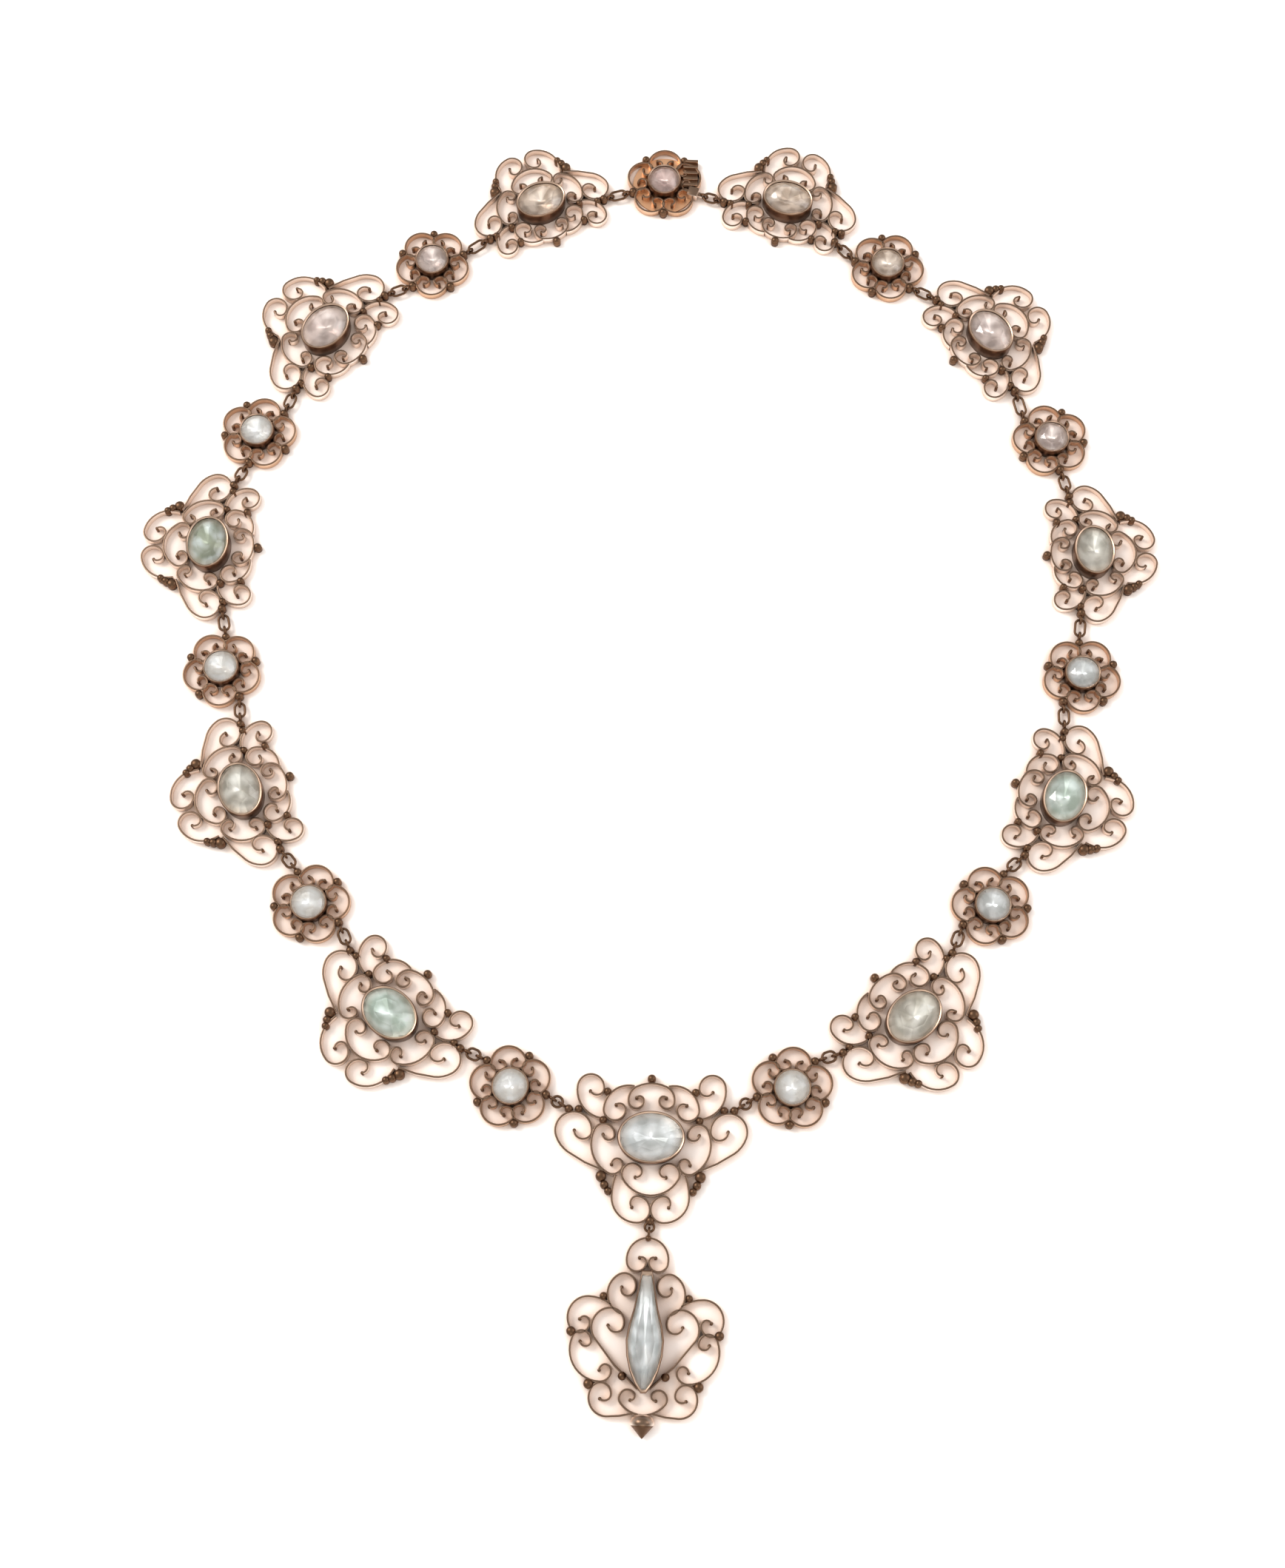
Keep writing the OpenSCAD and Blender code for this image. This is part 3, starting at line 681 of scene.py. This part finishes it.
# %% [markdown]
# ## Lofted settings
#
# A closed setting is a short tube with a floor, a ledge for the stone and an edge that is rubbed
# over it. All of its rings are the same outline drawn in by different amounts, so a short table
# of insets and heights describes it, and one loft serves the oval, the round and the drop-shaped
# one.

# %% Outlines
HALF_DROP = [
    (0.35, -7.4), (1.1, -6.4), (1.9, -4.7), (2.4, -2.8), (2.55, -0.8),
    (2.2, 1.2), (1.65, 3.2), (1.2, 5.5), (0.9, 7.2), (0.7, 8.1),
]
DROP = HALF_DROP + [(-x, y) for x, y in HALF_DROP[::-1]]
DROP_MIDDLE, DROP_WIDEST, DROP_REACH = (0, -1), 2.55, 8.3


def oval(a, b, count=64):
    turns = [math.tau * i / count for i in range(count)]
    return [(a * math.cos(turn), b * math.sin(turn)) for turn in turns]


def drop(inset):
    """The drop's outline, drawn in by an inset at its widest and by twice that at its long ends."""
    across, along = 1 - inset / DROP_WIDEST, 1 - 2 * inset / DROP_REACH
    return [(x * across, DROP_MIDDLE[1] + (y - DROP_MIDDLE[1]) * along) for x, y in DROP]


print("Drop of", len(DROP), "points")


# %% A loft through rings, and a setting
SHARP_FROM = math.radians(50)


def loft(rings):
    """A closed mesh through rings of equally many points, capped at both ends, in millimetres."""
    shape = bmesh.new()
    rows = [[shape.verts.new((x * MM, y * MM, z * MM)) for x, y in ring] for ring, z in rings]
    count = len(rows[0])
    for low, high in zip(rows, rows[1:]):
        for i in range(count):
            k = (i + 1) % count
            shape.faces.new((low[i], low[k], high[k], high[i]))
    shape.faces.new(rows[0][::-1])
    shape.faces.new(rows[-1])
    for face in shape.faces:
        face.smooth = True
    bmesh.ops.recalc_face_normals(shape, faces=shape.faces)
    return shape


def finished(shape, material):
    mesh = bpy.data.meshes.new("part")
    shape.to_mesh(mesh)
    shape.free()
    mesh.materials.append(material)
    mesh.set_sharp_from_angle(angle=SHARP_FROM)
    return mesh


def setting(outline, height, wall, floor=0.5):
    """A closed setting's floor, tapered wall and rubbed-over edge, each by inset and height."""
    rows = [
        (0.24, 0), (0.18, 0.05), (0.14, height * 0.5), (0.1, height - 0.5), (0.12, height - 0.25),
        (0.17, height - 0.08), (0.25, height), (wall - 0.04, height - 0.03),
        (wall + 0.06, height - 0.12), (wall + 0.05, height - 0.3), (wall + 0.02, height - 0.6),
        (wall + 0.3, floor),
    ]
    return finished(loft([(outline(inset), z) for inset, z in rows]), setting_gold)


OVAL_A, OVAL_B, ROUND_R = 4.15, 3.15, 2.3
OVAL_H, ROUND_H, DROP_H = 2.6, 2.3, 3.0
WALL, LEDGE, DROP_WALL = 0.4, 0.32, 0.34
print("Setting heights in mm:", OVAL_H, ROUND_H, DROP_H)

# %% [markdown]
# ## Cut stones
#
# The crown has a table, a ring of star and kite facets and two facets over each of them at the
# girdle. Below the girdle the facets run down to a point. Those take the foil, and the crown the
# clear beryl. A stone is all flat facets, so it is built corner by corner and never smoothed, and
# the same function cuts it from a round, an oval or a drop-shaped girdle.

# %% One function cuts every stone
STONE_DROP = 0.46
CROWN_SHARE, DROP_CROWN = 0.36, 0.95
OVAL_DEPTH, ROUND_DEPTH, DROP_DEPTH = 1.4, 1.1, 1.9
TABLE, UPPER, LOWER, GIRDLE_EDGE = 0.56, 0.8, 0.3, 0.08
STONE_SIDES = 16
CLEAR, FOILED = 0, 1


def cut_stone(girdle, middle, edge_z, crown, depth, foil):
    """A faceted stone. The girdle holds an even number of points, in millimetres."""
    n = len(girdle) // 2
    half_turn = math.cos(math.pi / n / 2)
    shape = bmesh.new()
    outward = shape.verts.layers.float.new("outward")

    def corner(i, share, z):
        x, y = girdle[i % (2 * n)]
        x, y = middle[0] + share * (x - middle[0]), middle[1] + share * (y - middle[1])
        spot = shape.verts.new((x * MM, y * MM, z * MM))
        spot[outward] = share
        return spot

    upper_z = edge_z + crown * (1 - UPPER * half_turn) / (1 - TABLE)
    lower_z = edge_z - depth * (1 - LOWER * half_turn)
    tables = [corner(2 * j, TABLE, edge_z + crown) for j in range(n)]
    joints = [corner(2 * j + 1, UPPER, upper_z) for j in range(n)]
    top = [corner(j, 1, edge_z + GIRDLE_EDGE / 2) for j in range(2 * n)]
    under = [corner(j, 1, edge_z - GIRDLE_EDGE / 2) for j in range(2 * n)]
    lows = [corner(2 * j + 1, LOWER, lower_z) for j in range(n)]
    point = shape.verts.new((middle[0] * MM, middle[1] * MM, (edge_z - depth) * MM))
    facets = [(CLEAR, tables)]
    for j in range(n):
        k, t = (j + 1) % n, (2 * j + 2) % (2 * n)
        facets += [
            (CLEAR, (tables[j], joints[j], tables[k])),
            (CLEAR, (tables[j], top[2 * j], joints[j])),
            (CLEAR, (tables[k], joints[j], top[t])),
            (CLEAR, (joints[j], top[2 * j], top[2 * j + 1])),
            (CLEAR, (joints[j], top[2 * j + 1], top[t])),
            (FOILED, (under[2 * j + 1], under[2 * j], lows[j])),
            (FOILED, (under[t], under[2 * j + 1], lows[j])),
            (FOILED, (under[2 * j], point, lows[j])),
            (FOILED, (under[t], lows[j], point)),
        ]
    for j in range(2 * n):
        k = (j + 1) % (2 * n)
        facets.append((FOILED, (top[j], under[j], under[k], top[k])))
    for finish, corners in facets:
        shape.faces.new(corners).material_index = finish
    bmesh.ops.recalc_face_normals(shape, faces=shape.faces)
    mesh = bpy.data.meshes.new("stone")
    shape.to_mesh(mesh)
    shape.free()
    mesh.materials.append(crown_glass)
    mesh.materials.append(foil)
    return mesh


girdle, crown = oval(ROUND_R, ROUND_R, STONE_SIDES), CROWN_SHARE * ROUND_R
trial = cut_stone(girdle, (0, 0), ROUND_H - STONE_DROP, crown, ROUND_DEPTH, foils["silver"])
print("A round stone measures", measured(trial), "and has", len(trial.polygons), "facets")
bpy.data.meshes.remove(trial)

# %% [markdown]
# ## Fixed loops and jump rings
#
# Each unit has a small loop of round wire at either end that stands on its edge, and a long ring
# lies through each pair of them. The loops' places follow from the units' places, and not from
# numbers of their own, so the chain stays linked if a unit is moved.

# %% Where the loops stand
LOOP_REACH, LOOP_R, WIRE_R, RING_R, WIRE_Z = 1.05, 0.5, 0.18, 0.7, 0.75
HANG_R, HANG_WIRE, BAIL_Z, FLAT_REACH, BAIL_REACH = 0.6, 0.17, 0.85, 0.8, 0.7
TONGUE_REACH = 0.4


def placed_at(unit, spot):
    x, y = turned([spot], unit.turn)[0]
    return (unit.x + x, unit.y + y)


def anchor(unit, side):
    """The grain that carries the chain, towards the next unit (1) or the last one (-1)."""
    if unit.kind == "rosette":
        x, y = on_circle((0, 0), ROSETTE_GRAIN_AT * unit.size, ROSETTE_SIDE_ANGLE)
        return placed_at(unit, (side * x, y))
    if unit.name == LOW_LINK and side == -1:
        return placed_at(unit, (LOW_GRAIN[0] * unit.size, LOW_GRAIN[1] * unit.size))
    x, y = CHAIN_GRAIN[unit.kind]
    return placed_at(unit, (side * x * unit.size, y * unit.size))


def step(start, end, distance):
    """The point at a distance from start on the way to end, and the way's angle."""
    way = math.atan2(end[1] - start[1], end[0] - start[0])
    spot = (start[0] + distance * math.cos(way), start[1] + distance * math.sin(way))
    return spot, math.degrees(way)


def loop_of(i, side):
    """The middle of a unit's fixed loop and the way it points."""
    other = (i + side) % len(UNITS)
    reach = LOOP_REACH + (TONGUE_REACH if i == 0 and side == -1 else 0)
    return step(anchor(UNITS[i], side), anchor(UNITS[other], -side), reach)


centre = next(unit for unit in UNITS if unit.kind == "centre")
link_foot, pendant_top = placed_at(centre, (0, LINK_FOOT_Y)), placed_at(PENDANT, (0, PENDANT_TOP_Y))
flat_loop, _ = step(link_foot, pendant_top, FLAT_REACH)
bail, bail_way = step(pendant_top, link_foot, BAIL_REACH)
print("Bail stands at", [round(v, 2) for v in bail])

# %% The rings' paths
LOOP_POINTS, FLAT_POINTS = 28, 32


def standing_ring(middle, way, radius, z):
    """A closed path round a ring that stands on its edge."""
    along = (math.cos(math.radians(way)), math.sin(math.radians(way)))
    path = []
    for i in range(LOOP_POINTS):
        c, s = math.cos(math.tau * i / LOOP_POINTS), math.sin(math.tau * i / LOOP_POINTS)
        x, y = middle[0] + radius * c * along[0], middle[1] + radius * c * along[1]
        path.append((x, y, z + radius * s))
    return path


def flat_ring(middle, radius, z):
    turns = [360 * i / FLAT_POINTS for i in range(FLAT_POINTS)]
    return [(*on_circle(middle, radius, turn), z) for turn in turns]


def long_ring(a, b, radius, z):
    """A closed path round a long ring that lies flat, from loop a to loop b."""
    way = math.degrees(math.atan2(b[1] - a[1], b[0] - a[0]))
    spread = math.dist(a, b) / 2 - radius
    middle = ((a[0] + b[0]) / 2, (a[1] + b[1]) / 2)
    far, near = on_circle(middle, spread, way), on_circle(middle, spread, way + 180)
    ends = along_arc(far, radius, way - 90, way + 90) + along_arc(near, radius, way + 90, way + 270)
    return [(x, y, z) for x, y in ends]


print("Points round a loop:", len(standing_ring(bail, bail_way, HANG_R, BAIL_Z)))

# %% [markdown]
# ## One piece for each node
#
# A soldered unit is one body of metal, though its strips, grains, setting and loops were made one
# by one. So their meshes are joined into one object that sits at the origin, rides on the part's
# only body and stands for its solid. A material slot is made for each finish that the parts bring
# along.


# %% Joining parts into one piece
def joined(name, meshes, nodes):
    """Joins plain meshes into one object at the origin that stands for its CAD node."""
    shape = bmesh.new()
    materials = []
    for mesh in meshes:
        first = len(shape.faces)
        shape.from_mesh(mesh)
        shape.faces.ensure_lookup_table()
        for face in shape.faces[first:]:
            material = mesh.materials[face.material_index]
            if material not in materials:
                materials.append(material)
            face.material_index = materials.index(material)
        bpy.data.meshes.remove(mesh)
    mesh = bpy.data.meshes.new(name)
    shape.to_mesh(mesh)
    shape.free()
    for material in materials:
        mesh.materials.append(material)
    piece = bpy.data.objects.new(name, mesh)
    bpy.context.scene.collection.objects.link(piece)
    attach(piece, "root")
    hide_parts(*nodes)
    return piece


def put(mesh, unit):
    """Moves a mesh made round its own middle to its unit's place."""
    turn = Matrix.Rotation(math.radians(unit.turn), 4, "Z")
    mesh.transform(Matrix.Translation(Vector((unit.x * MM, unit.y * MM, 0))) @ turn)
    return mesh


print("CAD nodes to stand for:", len(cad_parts))

# %% [markdown]
# ## The gold and the stone of one unit
#
# The rows above are in a unit's own frame. Here they are scaled by its size, turned and moved to
# its place, and then swept. The settings of all links have one height, because a goldsmith bends
# them from the same strip of sheet and fits only their outline to the stone. A crown's height
# goes with its stone's width.

# %% Scrollwork, setting and stone
TIP_R, TIP_H, TIP_DOME = 0.22, 1.0, 0.1
GRAIN_DOME, GRAIN_BELOW_STRIP = 0.42, 0.1


def scrollwork(unit):
    """Strips, curled tips and grains of a unit, in its own place."""
    paths, tips = [], []
    for points, free in unit_paths(unit.kind):
        path = [placed_at(unit, (x * unit.size, y * unit.size)) for x, y in points]
        paths.append(path)
        tips += [(*end, TIP_R) for end, is_free in zip((path[0], path[-1]), free) if is_free]
    spots = [(*placed_at(unit, (x * unit.size, y * unit.size)), r) for x, y, r in unit_grains(unit)]
    return [
        strips(paths, petal_gold if unit.kind == "rosette" else rose_gold),
        grains(tips, TIP_H, TIP_DOME),
        grains(spots, STRIP_H - GRAIN_BELOW_STRIP, GRAIN_DOME),
    ]


def setting_of(unit):
    if unit.kind == "pendant":
        return put(setting(drop, DROP_H, DROP_WALL), unit)
    if unit.kind == "rosette":
        r = ROUND_R + LEDGE
        return put(setting(lambda inset: oval(r - inset, r - inset, 48), ROUND_H, LEDGE), unit)
    a, b = unit.size * OVAL_A + WALL, unit.size * OVAL_B + WALL
    return put(setting(lambda inset: oval(a - inset, b - inset), OVAL_H, WALL), unit)


def stone_of(unit):
    """A stone in its setting, with its girdle a little under the rubbed-over edge."""
    a, b, middle = unit.size * OVAL_A, unit.size * OVAL_B, (0, 0)
    height, crown, depth = OVAL_H, unit.size * CROWN_SHARE * OVAL_B, OVAL_DEPTH
    if unit.kind == "rosette":
        a, b = ROUND_R, ROUND_R
        height, crown, depth = ROUND_H, CROWN_SHARE * ROUND_R, ROUND_DEPTH
    girdle = oval(a, b, STONE_SIDES)
    if unit.kind == "pendant":
        girdle, middle = drop(DROP_WALL), DROP_MIDDLE
        height, crown, depth = DROP_H, DROP_CROWN, DROP_DEPTH
    return put(cut_stone(girdle, middle, height - STONE_DROP, crown, depth, foil_of(unit)), unit)


print("Foil of the pendant's stone:", foil_of(PENDANT).name)

# %% [markdown]
# ## The clasp and the turned top
#
# The rosette at the nape hides a box catch. It alone is closed behind by a disc of redder gold,
# and a ribbed spring shows beside its stone. They are plain sheet and blocks with their edges
# broken. Under the pendant sits a small turned top. It came off a lathe, so its profile is turned
# about the pendant's long axis, and what would lie below the necklace's back is cut away, as if
# filed flat.

# %% Clasp box, tongue, back and spring
BOX_SIZE, BOX_IN, BOX_EDGE = (1.6, 1.5, 1.3), -0.3, 0.12
TONGUE_SIZE, TONGUE_OUT, TONGUE_EDGE = (1.7, 0.7, 0.4), 0.35, 0.08
BACK_R, BACK_H = 4.7, 0.25
SPRING_SIZE, SPRING_MIDDLE, SPRING_EDGE = (2.2, 4.7, 0.9), (-3.9, -1.85, 0.45), 0.08
RIB_SIZE, RIBS_FROM, RIB_STEP, RIB_COUNT, RIB_EDGE = (2.2, 0.4, 1.3), -3.8, 1, 5, 0.06


def block(size, middle, rounding, metal=rose_gold):
    """A box with rounded edges, in millimetres."""
    shape = bmesh.new()
    bmesh.ops.create_cube(shape, size=1)
    bmesh.ops.scale(shape, vec=[s * MM for s in size], verts=shape.verts)
    bmesh.ops.translate(shape, vec=[m * MM for m in middle], verts=shape.verts)
    bmesh.ops.bevel(
        shape, geom=shape.edges, offset=rounding * MM, segments=2, affect="EDGES", profile=0.5
    )
    return finished(shape, metal)


def clasp_back():
    """The closed back of the clasp, and the ribbed spring beside its stone."""
    back = finished(loft([(oval(BACK_R, BACK_R), 0), (oval(BACK_R, BACK_R), BACK_H)]), red_gold)
    x, z = SPRING_MIDDLE[0], RIB_SIZE[2] / 2
    middles = [(x, RIBS_FROM + i * RIB_STEP, z) for i in range(RIB_COUNT)]
    ribs = [block(RIB_SIZE, middle, RIB_EDGE, petal_gold) for middle in middles]
    return [back, block(SPRING_SIZE, SPRING_MIDDLE, SPRING_EDGE, tarnish_and_shade_gold)] + ribs


print("Ribs on the spring:", RIB_COUNT)

# %% The pendant's turned top
TOP_PROFILE = [
    (0.02, 9.8), (0.6, 9.8), (1, 9.92), (1.35, 10.25), (1.53, 10.6), (1.57, 10.9), (1.48, 11.15),
    (1.2, 11.45), (0.85, 11.85), (0.15, 12.65), (0.02, 12.75),
]
TOP_AXIS_Z, CONE_FROM = 0.8, 11.1


def turned_top():
    """The small spinning-top shape under the pendant, turned about the pendant's own Y."""
    shape = loft([(oval(r, r, 32), y) for r, y in TOP_PROFILE])
    bmesh.ops.rotate(shape, matrix=Matrix.Rotation(math.radians(90), 3, "X"), verts=shape.verts)
    bmesh.ops.translate(shape, vec=(0, 0, TOP_AXIS_Z * MM), verts=shape.verts)
    everything = shape.verts[:] + shape.edges[:] + shape.faces[:]
    cut = bmesh.ops.bisect_plane(shape, geom=everything, plane_no=(0, 0, -1), clear_outer=True)
    rim = [e for e in cut["geom_cut"] if isinstance(e, bmesh.types.BMEdge)]
    bmesh.ops.contextual_create(shape, geom=rim)
    bmesh.ops.recalc_face_normals(shape, faces=shape.faces)
    # The cone past CONE_FROM takes the dark brown as painted shade, under the lighter shoulder.
    for face in shape.faces:
        face.material_index = int(face.calc_center_median().y < -CONE_FROM * MM)
    mesh = finished(shape, rose_gold)
    mesh.materials.append(tarnish_and_shade_gold)
    return mesh


print("Widest radius of the top:", max(r for r, _ in TOP_PROFILE))

# %% [markdown]
# ## Making the pieces
#
# Everything is now a function of a unit, so the necklace is one walk round the loop: the gold of
# the units and the pendant first, then the clasp's tongue, the stones and the rings. Each object
# stands for one node of the part.

# %% Units and pendant
catch = Unit("catch", "box", *anchor(UNITS[0], -1), loop_of(0, -1)[1], 1)
total = 0
for i, unit in enumerate(UNITS):
    parts = scrollwork(unit) + [setting_of(unit)]
    sides = [1] if i == 0 else [1, -1]
    loops = [standing_ring(*loop_of(i, side), LOOP_R, WIRE_Z) for side in sides]
    parts.append(wires(loops, WIRE_R))
    if unit.kind == "centre":
        parts.append(wires([flat_ring(flat_loop, HANG_R, WIRE_Z)], HANG_WIRE))
    if unit.name == "clasp_rosette":
        parts.append(put(block(BOX_SIZE, (BOX_IN, 0, WIRE_Z), BOX_EDGE), catch))
        parts += [put(mesh, unit) for mesh in clasp_back()]
    piece = joined(unit.name + "_gold", parts, [unit.name])
    total += len(piece.data.polygons)
parts = scrollwork(PENDANT) + [setting_of(PENDANT), put(turned_top(), PENDANT)]
parts.append(wires([standing_ring(bail, bail_way, HANG_R, BAIL_Z)], HANG_WIRE))
piece = joined("pendant_gold", parts, ["pendant_frame"])
print("Faces in the gold units:", total + len(piece.data.polygons))

# %% Clasp tongue and stones
tongue = put(block(TONGUE_SIZE, (TONGUE_OUT, 0, WIRE_Z), TONGUE_EDGE), catch)
tongue_loop = wires([standing_ring(*loop_of(0, -1), LOOP_R, WIRE_Z)], WIRE_R)
joined("clasp_tongue_gold", [tongue, tongue_loop], ["clasp_tongue"])
SHORT_NAMES = {"centre_link": "centre", "pendant_frame": "pendant"}
for unit in UNITS + [PENDANT]:
    if unit.kind != "rosette":
        name = SHORT_NAMES.get(unit.name, unit.name)
        joined(name + "_aquamarine", [stone_of(unit)], [name + "_stone"])
rounds = [stone_of(unit) for unit in UNITS if unit.kind == "rosette"]
print(len(rounds), "round stones")
joined("rosette_aquamarines", rounds, ["rosette_stones"])

# %% Jump rings
rings = []
for i in range(len(UNITS)):
    a, _ = loop_of(i, 1)
    b, _ = loop_of((i + 1) % len(UNITS), -1)
    rings.append(long_ring(a, b, RING_R, WIRE_Z))
joined("jump_rings_wire", [wires(rings, WIRE_R)], ["jump_rings"])
print(len(rings), "jump rings")

# %% [markdown]
# ## The floor
#
# The necklace lies on white paper. Close to it the real paper turns faintly peach, because light
# that has touched the gold falls on it, most of all inside small cells. Few rays take that path,
# so the tint would stay grainy if it were left to them. The paper gets it painted instead, by how
# closed in it is, which is the same wherever the eye stands: a painted peach bounce light, and in
# small cells and at the foot of the gold a painted shade as well.

# %% Floor
FLOOR_HALF, BOUNCE_AND_SHADE_REACH = 1.2, 3.5 * MM
# Uncoated white paper: matt, with hardly any gloss, and painted peach bounce light and painted
# shade beside the gold.
paper, tree = new_material("white_studio_paper")
near = add(tree, "ShaderNodeAmbientOcclusion", {"Distance": BOUNCE_AND_SHADE_REACH}, samples=8)
# Painted bounce light and painted shade: the paper turns darker and peach where it is closed in.
tone = add(
    tree,
    "ShaderNodeValToRGB",
    {"Fac": near.outputs["AO"]},
    [(0.25, "#d0bbac"), (0.5, "#dfcfc4"), (0.7, "#e6dcd5"), (0.87, "#f1eeeb"), (0.97, "#f5f4f3")],
)
shader = add(
    tree,
    "ShaderNodeBsdfPrincipled",
    {"Base Color": tone, "Roughness": 0.9, "Specular IOR Level": 0.1},
)
add(tree, "ShaderNodeOutputMaterial", {"Surface": shader})
ground = bmesh.new()
bmesh.ops.create_grid(ground, x_segments=4, y_segments=4, size=FLOOR_HALF)
floor_mesh = bpy.data.meshes.new("studio_floor")
ground.to_mesh(floor_mesh)
ground.free()
floor_mesh.materials.append(paper)
floor = bpy.data.objects.new("studio_floor", floor_mesh)
bpy.context.scene.collection.objects.link(floor)
print("Floor measures in mm:", measured(floor_mesh))

# %% [markdown]
# ## The light
#
# Jewels are shot in a white tent: light comes from everywhere above and is weaker near the table.
# The air does that, with a ramp from a warm grey at the horizon to white overhead. Three soft
# panels add the direction, and the strongest stands at the upper left. They stand low and to the
# sides, outside what the stones' flat tables mirror to the camera, or each table would shine out
# white.

# %% The air
world = bpy.data.worlds.new("studio_air")
bpy.context.scene.world = world
world.use_nodes = True
air = world.node_tree
air.nodes.clear()
way = add(air, "ShaderNodeTexCoord").outputs["Generated"]
height = add(air, "ShaderNodeSeparateXYZ", {"Vector": way}).outputs["Z"]
sky = add(
    air,
    "ShaderNodeValToRGB",
    {"Fac": height},
    [(0.0, "#b8b0a8"), (0.3, "#ece8e4"), (0.6, "#ffffff"), (1.0, "#ffffff")],
)
glow = add(air, "ShaderNodeBackground", {"Color": sky, "Strength": 1.05})
add(air, "ShaderNodeOutputWorld", {"Surface": glow})
print("Strength of the air:", round(glow.inputs["Strength"].default_value, 2))

# %% The panels: name, place in metres, size in metres, watts and colour
PANELS = [
    ("upper_left_panel", (-0.62, 0.35, 0.72), 0.4, 7.6, "#fffdfa"),
    ("right_panel", (0.65, 0.1, 0.45), 0.5, 2.2, "#fdfcff"),
    ("near_panel", (0.05, -0.75, 0.5), 0.5, 1.4, "#fffdfa"),
]
for name, place, size, watts, code in PANELS:
    light = bpy.data.lights.new(name, "AREA")
    light.shape = "SQUARE"
    light.size = size
    light.energy = watts
    light.color = linear(code)[:3]
    lamp = bpy.data.objects.new(name, light)
    lamp.location = place
    lamp.rotation_euler = Vector(place).to_track_quat("Z", "Y").to_euler()
    bpy.context.scene.collection.objects.link(lamp)
print("Lights:", [row[0] for row in PANELS])

# %% [markdown]
# ## The camera
#
# The photograph was taken from above with a tilt of 16.6 degrees: the rosettes near the pendant
# look round and those near the clasp look flattened. The lens follows from a distance of 2822
# pixels between the eye and the picture, which is 2118 pixels high, and the sensor's long side of
# 36 mm. Paper white has to stay white, so the picture is shown with the plain Standard view.

# %% Camera
TILT = 16.6
PHOTO_HEIGHT, FOCAL_PIXELS, SENSOR = 2118, 2822, 36
EYE_MM = (-0.93, -89.46, 276.6)
camera = bpy.data.cameras.new("camera")
camera.sensor_width = SENSOR
camera.lens = SENSOR * FOCAL_PIXELS / PHOTO_HEIGHT
camera.clip_start = 0.01
camera.dof.use_dof = False
eye = bpy.data.objects.new("camera", camera)
eye.location = [v * MM for v in EYE_MM]
eye.rotation_euler = (math.radians(TILT), 0, 0)
bpy.context.scene.collection.objects.link(eye)
bpy.context.scene.camera = eye
bpy.context.scene.view_settings.view_transform = "Standard"
print("Lens in mm:", round(camera.lens, 2))
